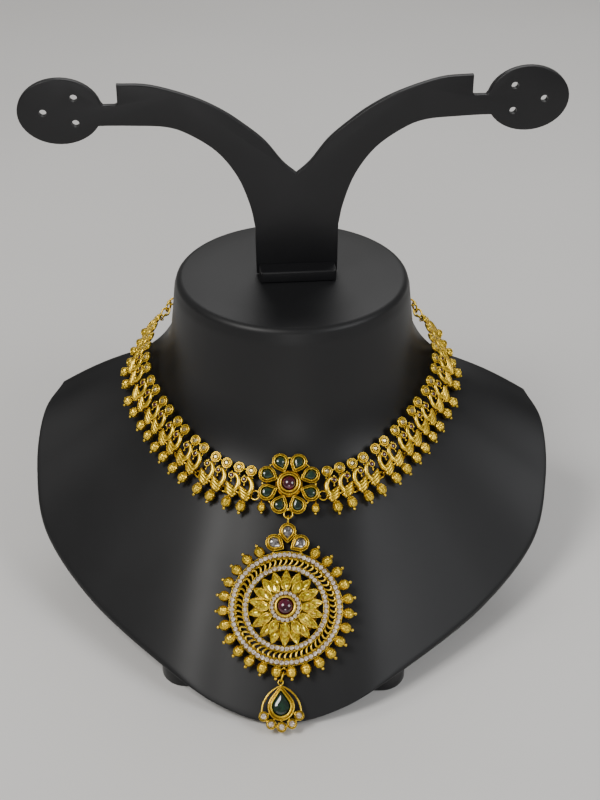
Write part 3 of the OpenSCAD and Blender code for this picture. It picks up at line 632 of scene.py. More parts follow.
def build_base():
    s = extruded(rounded_box(BASE_W, BASE_D, BASE_R, 10), 0, BASE_H, BASE_BEVEL, move(y=BASE_Y))
    flat_shade(s.piece("base_plate", [STAND_BLACK], "stand_black", "base_foot").data, 40)


# Route of the necklace and its frames

LACE_X = 1.2
LACE_TURN, LACE_TURN_Y = 1.4, -69
# Keys of the band's right side: place on the bust, and the direction in which a link hangs.
LACE = np.array([
    [13.5, -67.4, 68.6, 0.2, -0.72, -0.66], [28.4, -61, 70.6, 0.53, -0.52, -0.66],
    [42.4, -48, 75.2, 0.67, -0.26, -0.69], [53.5, -32.4, 80.4, 0.71, -0.03, -0.7],
    [59.85, -21.3, 85.4, 0.71, 0.05, -0.7], [62, -10.9, 90.6, 0.63, 0.16, -0.76],
    [60.45, 0.2, 94.55, 0.56, 0.24, -0.79], [57.6, 10.25, 98, 0.49, 0.3, -0.82],
    [53.9, 20.3, 99.5, 0.42, 0.32, -0.85]])
# Keys of the back chain, from the band's end to the middle of the neck.
CHAIN = np.array([[54.5, 20.8, 97.7], [48, 31, 98], [37.5, 42, 98.5], [20.5, 52, 99], [0, 56, 99]])
# Where each double link starts along the band, the distance between its birds, and their splay.
PAIR_AT = (1.9, 12.8, 24.9, 37.5, 50.2, 62.4, 74.3, 85.7, 96.7)
PAIRS = len(PAIR_AT)
UNIT_GAP = 5.4
UNIT_SPLAY = 1.8
# Sections between two keys.
FINE = 20


class Route:
    """A smooth line through keys with its length, mirrored at its far end."""

    def __init__(self, keys):
        flip = [-1 if i % 3 == 0 else 1 for i in range(keys.shape[1])]
        self.pts = np.array(smooth_line([2 * keys[0] - keys[1], *keys, keys[-2] * flip], FINE))
        steps = np.linalg.norm(np.diff(self.pts[:, :3], axis=0), axis=1)
        self.sums = np.r_[0, np.cumsum(steps)]
        self.total = self.sums[-1]

    def at(self, s):
        """The line's values at the distance s from its start."""
        return np.array([np.interp(s, self.sums, values) for values in self.pts.T])


lace = Route(LACE)


def pair_frame(k):
    """Place of a double link: x along the band, z off the bust."""
    s = PAIR_AT[k]
    a, b, m = lace.at(s), lace.at(s + UNIT_GAP), lace.at(s + UNIT_GAP / 2)
    x = unit(b[:3] - a[:3])
    h = m[3:]
    d = unit(h - x * (h @ x))
    return make_frame((a[:3] + b[:3]) / 2, x, np.cross(d, x))


pair_frames = [pair_frame(k) for k in range(PAIRS)]
THROAT = vec(0, -NECK_LOW_R, THROAT_Z)
CHEST_WAY = unit(EDGE[0] - THROAT)
CHEST_OUT = np.cross([1, 0, 0], -CHEST_WAY)


def chest_frame(x, d, lift):
    """A place on the chest's middle line, d down from the throat, with z off the chest."""
    return make_frame(THROAT + CHEST_WAY * d + CHEST_OUT * lift + vec(x, 0, 0), [1, 0, 0], CHEST_OUT)


# Down the chest each part hangs from the one above: hook ring, bail, low eye, drop.
FLOWER_D = 18.6
HOOK_REACH, BAIL_GAP = 12.35, 2.45
PAVE_OUT = 22.45
BAIL_Y = PAVE_OUT + 12.95
LOW_EYE_Y = -PAVE_OUT - 1.85
DROP_HANG = 13.5
DISC_D = FLOWER_D + HOOK_REACH + BAIL_GAP + BAIL_Y
DROP_D = DISC_D - LOW_EYE_Y + DROP_HANG
flower_frame = chest_frame(0, FLOWER_D, 3)
disc_frame = chest_frame(0, DISC_D, 3.2)
drop_frame = chest_frame(-0.7, DROP_D, 3) @ turn("z", 3)

RING_R, RING_WIRE, RING_Z = 1.85, 0.35, -1.35
EYE_R, EYE_WIRE, POST_R, POST_TOP = 0.78, 0.24, 0.42, 1.78
BACK_Z = -0.3
# Middles of the eyelets: between links, on the flower, on the first link and at the band's end.
JOINT_X, JOINT_Y = UNIT_GAP / 2 + 2.3, -10
FLOWER_JOINT, FIRST_JOINT = (12.2, -5, 0), (-5, -8.6, 0)
END_JOINT = (UNIT_GAP / 2 + 1.2, -0.6, 0)


def joint_frame(k):
    """Place of the ring in front of link k: x along the band."""
    if k == 0:
        before = flower_frame
        a, b = in_frame(before, FLOWER_JOINT), in_frame(pair_frames[0], FIRST_JOINT)
    else:
        before = pair_frames[k - 1]
        a, b = in_frame(before, (JOINT_X, JOINT_Y, 0)), in_frame(pair_frames[k], (-JOINT_X, JOINT_Y, 0))
    return make_frame((a + b) / 2, b - a, before[:3, 2] + pair_frames[k][:3, 2])


def end_frame():
    """Place of the ring between the last link and the back chain."""
    m = pair_frames[-1]
    o = in_frame(m, END_JOINT)
    way = unit(CHAIN[0] - o)
    return make_frame(o + way * RING_R, way, m[:3, 2])


joints = [joint_frame(k) for k in range(PAIRS)] + [end_frame()]
MIRROR = np.diag([-1, 1, 1, 1])
SHIFT = move(LACE_X)
LACE_PLACE = SHIFT @ move(y=LACE_TURN_Y) @ turn("z", LACE_TURN) @ move(y=-LACE_TURN_Y)


def side_place(side, m=np.eye(4)):
    """A right-hand frame moved onto the bust, or its mirror image."""
    return LACE_PLACE @ m if side > 0 else LACE_PLACE @ MIRROR @ m


# Settings, stones and beads

# Walls of the settings: share of the way from the rim in to the seat, share of the height.
ROUND_WALL = ((0, 0.42), (0.05, 0.54), (0.17, 0.6), (0.3, 0.56), (0.4, 0.44), (0.48, 0.44), (0.54, 0.6),
              (0.6, 0.86), (0.7, 0.98), (0.8, 1), (0.92, 0.94), (1, 0.78), (1, 0.35))
PEAR_WALL = ((0, 0.4), (0.05, 0.52), (0.14, 0.58), (0.24, 0.54), (0.34, 0.42), (0.45, 0.42), (0.53, 0.58),
             (0.6, 0.86), (0.7, 0.98), (0.8, 1), (0.92, 0.94), (1, 0.78), (1, 0.3))
# Crown of a pear stone: scale of its outline, share of the height.
PEAR_CROWN = ((1, 0), (0.88, 0.45), (0.68, 0.82), (0.42, 1))
# Corners of a round stone, and its faces between two of them: row and step.
CORNERS = 8
FACETS = (((0, 0), (0, 1), (1, 1), (1, 0)), ((1, 0), (1, 1), (2, 0)), ((2, 0), (1, 1), (2, 1)),
          ((2, 0), (3, 1), (3, 0)), ((2, 0), (2, 1), (3, 1)))


def round_bezel(shape, r, seat, top, at=None, n=28):
    """A round setting with a low outer rim, a groove and a high inner rim round its seat."""
    prof = [(0, BACK_Z), (r * 0.96, BACK_Z), (r, BACK_Z + 0.15)]
    prof += [(lerp(r, seat, f), top * h) for f, h in ROUND_WALL]
    prof.append((0, top * 0.3))
    shape.add(lathe(prof, n), at)


def pear_outline(r, tip, n=60, soft=2):
    """Outline of a pear with its softly rounded point towards -y."""
    lean = acos(r / tip)
    pts = [(0, -tip)]
    for a in np.linspace(lean - pi / 2, 3 * pi / 2 - lean, 40):
        pts.append((r * cos(a), r * sin(a)))
    p = np.array(pts + [pts[0]])
    d = np.r_[0, np.cumsum(np.linalg.norm(np.diff(p, axis=0), axis=1))]
    s = np.arange(n) * d[-1] / n
    q = np.stack([np.interp(s, d, p[:, 0]), np.interp(s, d, p[:, 1])], -1)
    for _ in range(soft):
        q = (np.roll(q, 1, 0) + 2 * q + np.roll(q, -1, 0)) / 4
    return q


def pear_bezel(shape, r, tip, seat, seat_tip, top, at):
    """A pear setting: thin outer rim, wide groove, high inner rim and the seat inside it."""
    outer, inner = pear_outline(r, tip), pear_outline(seat, seat_tip)
    steps = [(0.02, BACK_Z), (0, BACK_Z + 0.15)] + [(f, top * h) for f, h in PEAR_WALL]
    rings = [np.column_stack([lerp(outer, inner, f), np.full(len(outer), z)]) for f, z in steps]
    shape.add(skin(rings, cap_low=True, cap_high=True), at)


def cut_pear(shape, r, tip, z, rise, at, n=14):
    """A pear stone with a table and three rows of facets."""
    base = pear_outline(r, tip, n, 0)
    low = (r - tip) * 0.12
    rings = []
    for k, h in [(1, z - 0.3)] + [(k, z + rise * h) for k, h in PEAR_CROWN]:
        rings.append(np.column_stack([base[:, 0] * k, (base[:, 1] - low) * k + low, np.full(n, h)]))
    v, f = skin(rings, cap_low=True)
    f.append(tuple(len(PEAR_CROWN) * n + j for j in range(n)))
    shape.add((v, f), at, soft=False)


def cut_round(shape, r, z, rise, at):
    """A round stone: table, crown facets and girdle."""
    n = CORNERS
    girdle = circle_points(n, r)
    rows = ((girdle, z - 0.2), (girdle, z), (circle_points(n, 0.8 * r, pi / n), z + rise * 0.6),
            (circle_points(n, 0.52 * r), z + rise))
    v = np.vstack([np.column_stack([p, np.full(n, h)]) for p, h in rows])
    f = [tuple(row * n + (j + k) % n for row, k in facet) for j in range(n) for facet in FACETS]
    f.append(tuple(3 * n + j for j in range(n)))
    f.append(tuple(range(n))[::-1])
    shape.add((v, f), at, soft=False)


def arc(degrees, r, z=0, h=None):
    """Profile points at angles above the horizontal, on a circle of radius r about z, or h high."""
    h = r if h is None else h
    return [(r * cos(radians(a)), z + h * sin(radians(a))) for a in degrees]


def dome(shape, r, z, h, at, n):
    """A polished stone: a dome over a short upright edge."""
    prof = [(0, z), (r, z), (r, z + 0.3)] + arc(range(10, 90, 10), r, z + 0.3, h - 0.3) + [(0, z + h)]
    shape.add(lathe(prof, n), at)


# Belt of a bead, from its edge in: share of the bead's radius, height.
BELT = ((0.93, 0.32), (0.9, 0.26), (1.02, 0.18))
# Radius of a granule beside the bead's radius, and depth of the flutes.
GRANULE = 0.3 / 2.15
FLUTE = 0.15


def bead_shape(r, tip, collar, top, flutes=9):
    """A fluted bead about y: ball below, belt round the middle, granules under the collar."""
    place = turn("x", -90)
    prof = [(0, -r - 1.65 * tip)] + arc((-60, -30, 0, 30, 55), tip, -r - tip * 0.65)
    prof += [(0.42 * tip, -r - 0.02), (0.5 * tip, -0.975 * r), (0.4 * r, -0.93 * r)]
    prof += arc((-58, -47, -36, -27, -19), r)
    prof += [(r * k, -z) for k, z in BELT] + [(r * 1.05, 0)] + [(r * k, z) for k, z in BELT[::-1]]
    prof += arc((19, 28, 38, 49, 60), r)
    prof += [(collar * 1.15, r * 0.93), (collar * 0.8, r * 0.98), (collar * 0.8, r + 0.12),
             (collar, r + 0.2), (collar, r + 0.36), (collar * 0.75, r + 0.44), (collar * 0.6, top), (0, top)]

    def flute(rad, z, a):
        """Radius with the flutes, which fade out at the belt and at both ends."""
        band = abs(z) / r
        fade = np.clip((band - 0.14) * 6, 0, 1) * np.clip((0.92 - band) * 6, 0, 1)
        return rad - FLUTE * r * fade * (1 - np.abs(np.cos(a * flutes / 2)))

    s = Shape().add(lathe(prof, flutes * 4, flute), place)
    for j in range(flutes):
        a = 2 * pi * (j + 0.5) / flutes
        spot = move(0.5 * r * cos(a), 0.5 * r * sin(a), 0.88 * r)
        s.add(ball(GRANULE * r, 8), place @ spot)
    return s


# Peacock unit, right-hand side

SETTING_R, SETTING_SEAT, SETTING_TOP = 2.28, 1, 1.35
BEAD_Y, BEAD_R, TIP_R, BEAD_COLLAR = -15, 2.25, 0.7, 0.8
HEAD = (1.75, -4.1)
HEAD_R = 1.36
# Wall of the head's setting: share of its radius, height.
HEAD_WALL = ((0.93, BACK_Z), (1, BACK_Z + 0.2), (1, 0.75), (0.95, 1.02), (0.86, 1.15), (0.76, 1.12),
             (0.69, 0.95), (0.68, 0.45))
# Line from the head down the neck to the body.
BIRD_NECK = ((1.35, -3.1), (0.5, -3.1), (-0.7, -3.8), (-1.7, -5.1), (-2.15, -6.6), (-2.15, -7.8),
             (-1.7, -8.9), (-0.8, -9.7))
# Middle, turn and half axes of a bird's body.
BODY_AT, BODY_TURN, BODY = (0.25, -9.85), 31, (2.75, 2.2, 0.95)
# Feather ridges of a body, from the lowest: middle, half length, thickness, height.
FEATHERS = ((-0.2, -11.3, 2.15, 0.78, 0.35), (-0.15, -10.2, 2.95, 0.88, 0.65),
            (0.25, -9, 3, 0.88, 0.72), (1.3, -7.9, 2, 0.78, 0.5))
FEATHER_TURN = 17
FEATHER_SAG = 0.42
FEATHER_END = 0.2
FEATHER_STEPS = 10


def flat_backed(mesh, at=np.eye(4), rise=0):
    """A mesh moved to its place, with all that lies below the back pressed flat."""
    v, f = mesh
    v = v @ at[:3, :3].T + at[:3, 3]
    v[:, 2] = np.maximum(v[:, 2] + rise, BACK_Z)
    return v, f


def feathered_body(shape):
    """A flat-backed core under four sagging feathers, each with a fine vein."""
    core = np.diag([*BODY, 1])
    shape.add(flat_backed(ball(1, 20), core, 0.1), move(*BODY_AT) @ turn("z", BODY_TURN))
    for x, y, half, thick, lift in FEATHERS:
        pts, radius = [], []
        for i in range(FEATHER_STEPS + 1):
            u = -1 + 2 * i / FEATHER_STEPS
            env = sqrt(max(0, 1 - abs(u) ** 2.6))
            pts.append((half * u, FEATHER_SAG * (u * u - 0.5) + 0.2 * u, lift * (0.4 + 0.6 * env)))
            radius.append(FEATHER_END + (thick - FEATHER_END) * env)
        place = move(x, y) @ turn("z", FEATHER_TURN)
        shape.add(flat_backed(tube(pts, radius, 12, up=UP), place))
        vein = [(a, b + 0.16, c + r * 0.96) for (a, b, c), r in zip(pts[2:-1], radius[2:-1])]
        shape.add(tube(vein, 0.09, 5, up=UP), place)


def peacock_shape():
    """One bird with its round setting above and its bead below."""
    s = Shape()
    round_bezel(s, SETTING_R, SETTING_SEAT, SETTING_TOP)
    s.add(lathe([(0, BACK_Z)] + [(HEAD_R * k, z) for k, z in HEAD_WALL] + [(0, 0.4)], 20), move(*HEAD))
    path = curve_through(BIRD_NECK, 4)
    k = np.linspace(0, 1, len(path))
    radius = np.interp(k, [0, 0.12, 0.35, 0.6, 0.8, 1], [0.5, 0.74, 0.98, 1.1, 1.08, 0.8])
    lift = np.interp(k, [0, 0.3, 0.7, 1], [0.4, 0.45, 0.5, 0.4])
    neck = tube(np.column_stack([path, lift]), radius, 14, flat=0.92, up=UP)
    s.add(flat_backed(neck))
    feathered_body(s)
    # Beak with its ball, and the two balls of the crest.
    s.add(tube([(1.45, -5.05, 0.5), (1.35, -5.6, 0.5), (1.2, -6.1, 0.46)], [0.36, 0.27, 0.24], 8))
    s.add(ball(0.43, 12), move(1.15, -6.35, 0.46))
    s.add(ball(0.5, 12), move(2.15, -2.6, 0.5))
    s.add(ball(0.3, 8), move(2.75, -3.1, 0.5))
    # Pin with its ball, and the ball between setting and head.
    s.add(tube([(-0.9, -2, 0.3), (-1.15, -2.6, 0.3)], [0.22, 0.24], 8))
    s.add(ball(0.3, 10), move(-1.2, -2.75, 0.3))
    s.add(ball(0.55, 12), move(0.35, -2.75, 0.35))
    return s.join(bead_shape(BEAD_R, TIP_R, BEAD_COLLAR, BEAD_R + 1.15), move(0, BEAD_Y))


UNIT_PLACES = [move(side * UNIT_GAP / 2) @ turn("z", side * UNIT_SPLAY) for side in (-1, 1)]


def eyelet_into(shape, joint, way):
    """An eyelet on one side of a ring, with its post."""
    place = joint @ move(way * RING_R, 0, RING_Z)
    shape.add(hoop(EYE_R, EYE_WIRE, 20, 8), place @ turn("x", 90))
    shape.add(rod(POST_R, EYE_R - EYE_WIRE / 2, POST_TOP, 12), place)


def link_shape(k, unit_shape):
    """Two birds joined by two bars."""
    s = Shape()
    m = pair_frames[k]
    for at in UNIT_PLACES:
        s.join(unit_shape, m @ at)
    reach = UNIT_GAP / 2 - 2.1
    s.add(tube([(-reach, 0, 0.25), (0, 0, 0.28), (reach, 0, 0.25)], 0.3), m)
    s.add(tube([(x, -9.95, 0.5) for x in (-1.2, 0, 1.2)], 0.4), m)
    eyelet_into(s, joints[k], 1)
    eyelet_into(s, joints[k + 1], -1)
    return s


def build_links():
    """The double links of both sides and their stones."""
    one = peacock_shape()
    clear, red = Shape(), Shape()
    for k in range(PAIRS):
        link = link_shape(k, one)
        for side, name in ((1, "right"), (-1, "left")):
            tag = "_%s_%d" % (name, k + 1)
            Shape().join(link, side_place(side)).in_gold("peacock" + tag, "link" + tag)
            for unit_place in UNIT_PLACES:
                at = side_place(side, pair_frames[k]) @ unit_place
                cut_round(clear, SETTING_SEAT - 0.02, 0.95, 0.42, at)
                dome(red, HEAD_R * 0.67, 0.45, 0.6, at @ move(*HEAD), 14)
    clear.piece("setting_stones", [HONEY], "clear_stone", "link_stones")
    red.piece("bird_rubies", [GARNET], "ruby", "peacock_rubies")


def build_joining_rings():
    """Round rings beside the flower and at the band's ends, narrow oval ones between the links."""
    rings = Shape()
    for side in (1, -1):
        for k, j in enumerate(joints):
            ring = hoop(RING_R, RING_WIRE, 30, narrow=0.6 if 0 < k < PAIRS else 1)
            rings.add(ring, side_place(side, j) @ move(z=RING_Z))
    rings.in_gold("joining_rings", "jump_rings")


# Centre flower

PETALS, PETAL_AT, PETAL_TOP = 8, 9.75, 1.9
PETAL = (3.45, 5, 2.12, 3.25)
HEART_R, HEART_STONE, HEART_TOP = 4.85, 3, 2.6
HOOK_R, HOOK_WIRE = 1.75, 0.38
SIDE_BEAD_R, SIDE_BEAD_TIP, SIDE_BEAD_AT = 1.8, 0.5, (10.9, -9.9)


def build_flower():
    """Eight emeralds round a ruby, with a hook ring and two beads."""
    s, green, red = Shape(), Shape(), Shape()
    place = SHIFT @ flower_frame
    seat, seat_tip = PETAL[2:]
    for between, way in zip(around(PETALS), around(PETALS, 0.5)):
        at = way @ move(PETAL_AT) @ turn("z", -90)
        pear_bezel(s, *PETAL, PETAL_TOP, at)
        cut_pear(green, seat - 0.1, seat_tip - 0.12, 1.15, 0.85, place @ at)
        bridge = [(PETAL_AT + x, y, z) for x, y, z in ((0.9, -0.9, 0.2), (1.05, 0, 0.3), (0.9, 0.9, 0.2))]
        s.add(tube(bridge, 0.38), between)
    round_bezel(s, HEART_R, HEART_STONE, HEART_TOP, n=48)
    s.add(rod(HEART_R + 0.6, BACK_Z, 0.3, 40))
    dome(red, HEART_STONE - 0.05, HEART_TOP * 0.3, 2.7, place, 40)
    s.add(hoop(HOOK_R, HOOK_WIRE, 36, 12), move(y=-HOOK_REACH))
    s.add(ball(0.7, 14), move(y=-HOOK_REACH + 1.9))
    small = bead_shape(SIDE_BEAD_R, SIDE_BEAD_TIP, 0.5, SIDE_BEAD_R + 2.05, 8)
    x, y = SIDE_BEAD_AT
    for side in (-1, 1):
        s.join(small, move(side * x, y))
    w = Shape().join(s, place)
    e = Shape()
    eyelet_into(e, joints[0], -1)
    for side in (1, -1):
        w.join(e, side_place(side))
    w.in_gold("flower", "flower_metal")
    green.piece("emerald_petals", [EMERALD], "emerald", "flower_emeralds")
    red.piece("flower_heart", [RUBY], "ruby", "flower_ruby")


# Pendant

# Both rings of stones: outer and inner radius, underside, height and number of stones.
PAVE_IN, INNER_OUT = 19.85, 16.95
PAVE_ROWS = ((PAVE_OUT, PAVE_IN, -0.6, 1.25, 68), (INNER_OUT, 14.8, BACK_Z, 1.9, 52))
PAVE_WALL = 0.15
# Uneven seat of the stones, in degrees.
STONE_TILT = 5
CRESCENTS = 54
CRESCENT = ((-1.6, 0.5), (-1.05, -0.1), (-0.35, -0.62), (0.4, -0.92), (1, -0.86), (1.36, -0.45),
            (1.38, 0.1), (1.1, 0.5))
# Dish under the petals and the raised middle with the ruby's seat: radius, height.
DISH = ((0, BACK_Z + 1.5), (4.9, 2.1), (12.2, BACK_Z), (12.9, BACK_Z + 0.1), (12.9, 0.4), (6.9, 3.4),
        (6.6, 4.3), (6.4, 5.2), (6.35, 5.85), (6.28, 5.95), (6.18, 5.95), (6.14, 5.5), (4.4, 5.5),
        (4.3, 6.2), (4.15, 6.75), (3.85, 7), (3.45, 6.95), (3.2, 6.6), (3.15, 5.4), (0, 5.4))
# Rows of petals: number, inner and outer radius, width, inner and outer height, thickness.
PETAL_ROWS = ((18, 6.3, 15, 3.9, 3, 0.75, 1.15), (12, 5.7, 12.2, 4, 4.75, 2.6, 1.2))
HALO_N, HALO_AT, HALO_R, HALO_Z = 19, 5.27, 0.86, 5.75
FRINGE_N, FRINGE_AT = 27, 24.7
# Pear settings on top: sizes, height and places with their turns.
TREFOIL = (3.45, 4.9, 2.05, 3.2)
TREFOIL_TOP = 1.9
TREFOIL_AT = ((0, PAVE_OUT + 8.15, 0), (5.3, PAVE_OUT + 3.55, -58), (-5.3, PAVE_OUT + 3.55, 58))
BAIL_R, BAIL_WIRE = 1.6, 0.38
LOW_EYE_R, LOW_EYE_WIRE = 1.15, 0.3


def pave_row(metal, stones, outer, inner, low, top, count, place):
    """A ring of stones in a channel with a grain of metal on each side between them."""
    mid, half, wall = (outer + inner) / 2, (outer - inner) / 2, PAVE_WALL
    half_prof = [(half, low), (half, top - 0.08), (half - 0.05, top), (half - wall, top),
                 (half - wall - 0.03, top - 0.35)]
    prof = [(inner, low)] + [(mid + x, z) for x, z in half_prof]
    prof += [(mid - x, z) for x, z in half_prof[::-1]]
    metal.add(lathe(prof, 136))
    r = min(half - wall, pi * mid / count - 0.02)
    for i, (between, way) in enumerate(zip(around(count), around(count, 0.5))):
        at = way @ move(y=mid) @ turn("x", STONE_TILT * sin(2.4 * i))
        cut_round(stones, r, top - 0.16, 0.34, place @ at)
        for off in (-0.66, 0.66):
            metal.add(ball(0.15, 6), between @ move(0, mid + off * half, top))


# Levels across half of a petal's gold rim and half of its stone: share of the half width, height.
RIM_LEVELS = ((-1, -0.3), (-1, 0.5), (-0.93, 0.72), (-0.8, 0.74), (-0.74, 0.52))
CUT_LEVELS = ((-0.76, 0.5), (-0.42, 0.86), (-0.12, 1))
# Sections along each, its margin at the tips, height of its ends beside its middle, unevenness.
RIM = (14, 0, 1, 0)
CUT = (6, 0.06, 0.7, 0.05)


def petal_shape(length, width, t):
    """A marquise along x: a gold rim (first material) round a cut yellow stone (second)."""

    def sheet(half, steps, margin, ends, shake):
        levels = [*half, *[(-k, h) for k, h in half[::-1]]]
        rows = []
        for i in range(steps + 1):
            u = lerp(margin, 1 - margin, i / steps)
            reach = width / 2 * max(0, sin(pi * u ** 0.88)) ** 0.78
            crown = 0.5 + 0.5 * sin(pi * u)
            full = lerp(ends, 1, sin(pi * i / steps))
            row = []
            for j, (k, h) in enumerate(levels):
                high = (0.5 + (h - 0.5) * full) * crown if h > 0 else h
                if 0 < j < len(levels) - 1:
                    high += shake * sin(5.1 * i + 2.3 * j)
                row.append((length * u, reach * k, t * high))
            rows.append(row)
        v, f = skin(rows, closed=False)
        return v, [q[::-1] for q in f]

    s = Shape().add(sheet(RIM_LEVELS, *RIM))
    return s.add(sheet(CUT_LEVELS, *CUT), mat=1, soft=False)


def petals(shape, count, inner, outer, width, z_in, z_out, t):
    """A row of petals that slope down from the inner to the outer radius."""
    run = outer - inner
    dip = np.degrees(atan((z_in - z_out) / run))
    one = petal_shape(hypot(run, z_in - z_out), width, t)
    for way in around(count, count / 4):
        shape.join(one, way @ move(inner, 0, z_in) @ turn("y", dip))


def crescent_bars(shape):
    """Hooked bars between the two rings of stones, all curving the same way."""
    mid = (PAVE_IN + INNER_OUT) / 2
    pts = [(mid + x, y, 0.25) for x, y in curve_through(CRESCENT, 3)]
    radius = np.interp(np.linspace(0, 1, len(pts)), [0, 0.3, 0.7, 1], [0.29, 0.42, 0.52, 0.34])
    bar = tube(pts, radius, 8, up=UP)
    for way in around(CRESCENTS):
        shape.add(bar, way)
    for r in (INNER_OUT + 0.02, PAVE_IN - 0.02):
        shape.add(hoop(r, 0.3, 108, 8))


def build_pendant():
    """The pierced disc with all that is soldered to it, and its stones."""
    s, white, grey, red = Shape(), Shape(), Shape(), Shape()
    place = SHIFT @ disc_frame
    for row in PAVE_ROWS:
        pave_row(s, white, *row, place)
    crescent_bars(s)
    s.add(lathe(DISH, 72))
    for row in PETAL_ROWS:
        petals(s, *row)
    for way in around(HALO_N):
        cut_round(white, HALO_R, HALO_Z, 0.36, place @ way @ move(y=HALO_AT))
    dome(red, 3.13, 5.5, 2.6, place, 40)
    one = bead_shape(BEAD_R, TIP_R, BEAD_COLLAR, BEAD_R + 0.5)
    for way in around(FRINGE_N)[2:-1]:
        s.join(one, way @ move(y=FRINGE_AT) @ turn("z", 180))
    seat, seat_tip = TREFOIL[2:]
    for x, y, a in TREFOIL_AT:
        at = move(x, y) @ turn("z", a)
        pear_bezel(s, *TREFOIL, TREFOIL_TOP, at)
        cut_pear(grey, seat - 0.06, seat_tip - 0.08, 1.1, 0.5, place @ at, 12)
    for side in (-1, 1):
        s.add(ball(0.65, 12), move(side * 3.4, PAVE_OUT + 6.85, 0.3))
        s.add(ball(0.9, 12), move(side * 5.4, PAVE_OUT - 0.7, 0.2))
    s.add(hoop(BAIL_R, BAIL_WIRE, 32, 12), move(y=BAIL_Y) @ turn("y", 90))
    s.add(ball(0.6, 12), move(y=BAIL_Y - 1.7))
    s.add(hoop(LOW_EYE_R, LOW_EYE_WIRE, 28), move(y=LOW_EYE_Y))
    s.add(ball(0.6, 12), move(y=LOW_EYE_Y + 1.3))
    Shape().join(s, place).piece("pendant", [GOLD, YELLOW], "gold", "pendant_metal")
    white.piece("pendant_stones", [WHITE], "clear_stone", "pendant_pave")
    grey.piece("trefoil_diamonds", [POLKI], "clear_stone", "trefoil_stones")
    red.piece("pendant_heart", [RUBY], "ruby", "pendant_ruby")


# Drop

DROP = (5.3, 8.3, 3.5, 6.2)
DROP_TOP = 2.1
DROP_EYE_Y = 9.25
DROP_EYE_R, DROP_WIRE = 0.95, 0.3
# Small round settings under the pear: number, radius of their row, degrees between them, sizes.
DROP_N, DROP_ROW, DROP_STEP = 5, 7.65, 31.5
DROP_SETTING = (1.95, 1.2, 1.5)
# Arch on each side of the pear: middle, radius, first and last angle.
ARCH_AT, ARCH_R, ARCH_FROM, ARCH_TO = (3, -2.3), 10.6, 104, 180


def build_drop():
    """The pear drop and the ring above it."""
    s, green, white = Shape(), Shape(), Shape()
    place = SHIFT @ drop_frame
    tip, seat, seat_tip = DROP[1:]
    at = turn("z", 180)
    pear_bezel(s, *DROP, DROP_TOP, at)
    cut_pear(green, seat - 0.06, seat_tip - 0.1, 1.3, 1.15, place @ at, 18)
    middle = (DROP_N - 1) / 2
    for i in range(DROP_N):
        m = turn("z", -90 + DROP_STEP * (i - middle)) @ move(DROP_ROW)
        round_bezel(s, *DROP_SETTING, m)
        cut_round(white, DROP_SETTING[1] - 0.03, 1.1, 0.5, place @ m)
        s.add(ball(0.5, 10), m @ move(-2.15, 0, 0.3))
    for i in range(DROP_N - 1):
        s.add(ball(0.5, 10), turn("z", -90 + DROP_STEP * (i + 0.5 - middle)) @ move(DROP_ROW, 0, 0.3))
    (cx, cy), angles = ARCH_AT, np.radians(np.linspace(ARCH_FROM, ARCH_TO, 25))
    for side in (-1, 1):
        arch = [(side * (cx + ARCH_R * cos(a)), cy + ARCH_R * sin(a), 0.3) for a in angles]
        s.add(tube(arch, 0.38, up=UP))
    s.add(hoop(DROP_EYE_R, DROP_WIRE, 28), move(y=DROP_EYE_Y))
    s.add(ball(0.7, 12), move(0, tip - 0.35, 0.2))
    Shape().join(s, place).in_gold("drop", "drop_metal")
    green.piece("drop_stone", [EMERALD], "emerald", "drop_emerald")
    white.piece("drop_diamonds", [WHITE], "clear_stone", "drop_whites")
    a, b = in_frame(disc_frame, (0, LOW_EYE_Y, 0)), in_frame(drop_frame, (0, DROP_EYE_Y, 0))
    m = SHIFT @ make_frame((a + b) / 2, b - a, CHEST_OUT) @ turn("x", 90)
    ring = Shape().add(hoop(np.linalg.norm(b - a) / 2 - 0.2, DROP_WIRE, 32), m)
    ring.in_gold("drop_loop", "drop_ring")


# Back chain and clasp

LINK_LEN, LINK_W, LINK_WIRE, LINK_PLAY, SIDE_LINKS = 6.4, 4.2, 0.45, 0.1, 16
CLASP_HALF, CLASP_R, CLASP_EYE = 4, 2.1, 1.5
# Right half of the barrel: radius less than its largest, distance from the middle.
BARREL = ((0, 0.7), (0.2, 0.9), (0.2, 1.2), (0, 1.4), (0.05, 3.4), (0.25, 3.85), (0.6, CLASP_HALF),
          (CLASP_R, CLASP_HALF))


def oval_link():
    """An oval chain link, long along x."""
    half = LINK_LEN / 2 - LINK_W / 2
    r = LINK_W / 2 - LINK_WIRE
    pts = []
    for sign in (1, -1):
        for a in np.radians(np.linspace(-90, 90, 11)):
            pts.append((sign * (half + r * cos(a)), sign * r * sin(a), 0))
    return tube(pts, LINK_WIRE, closed=True, up=UP)


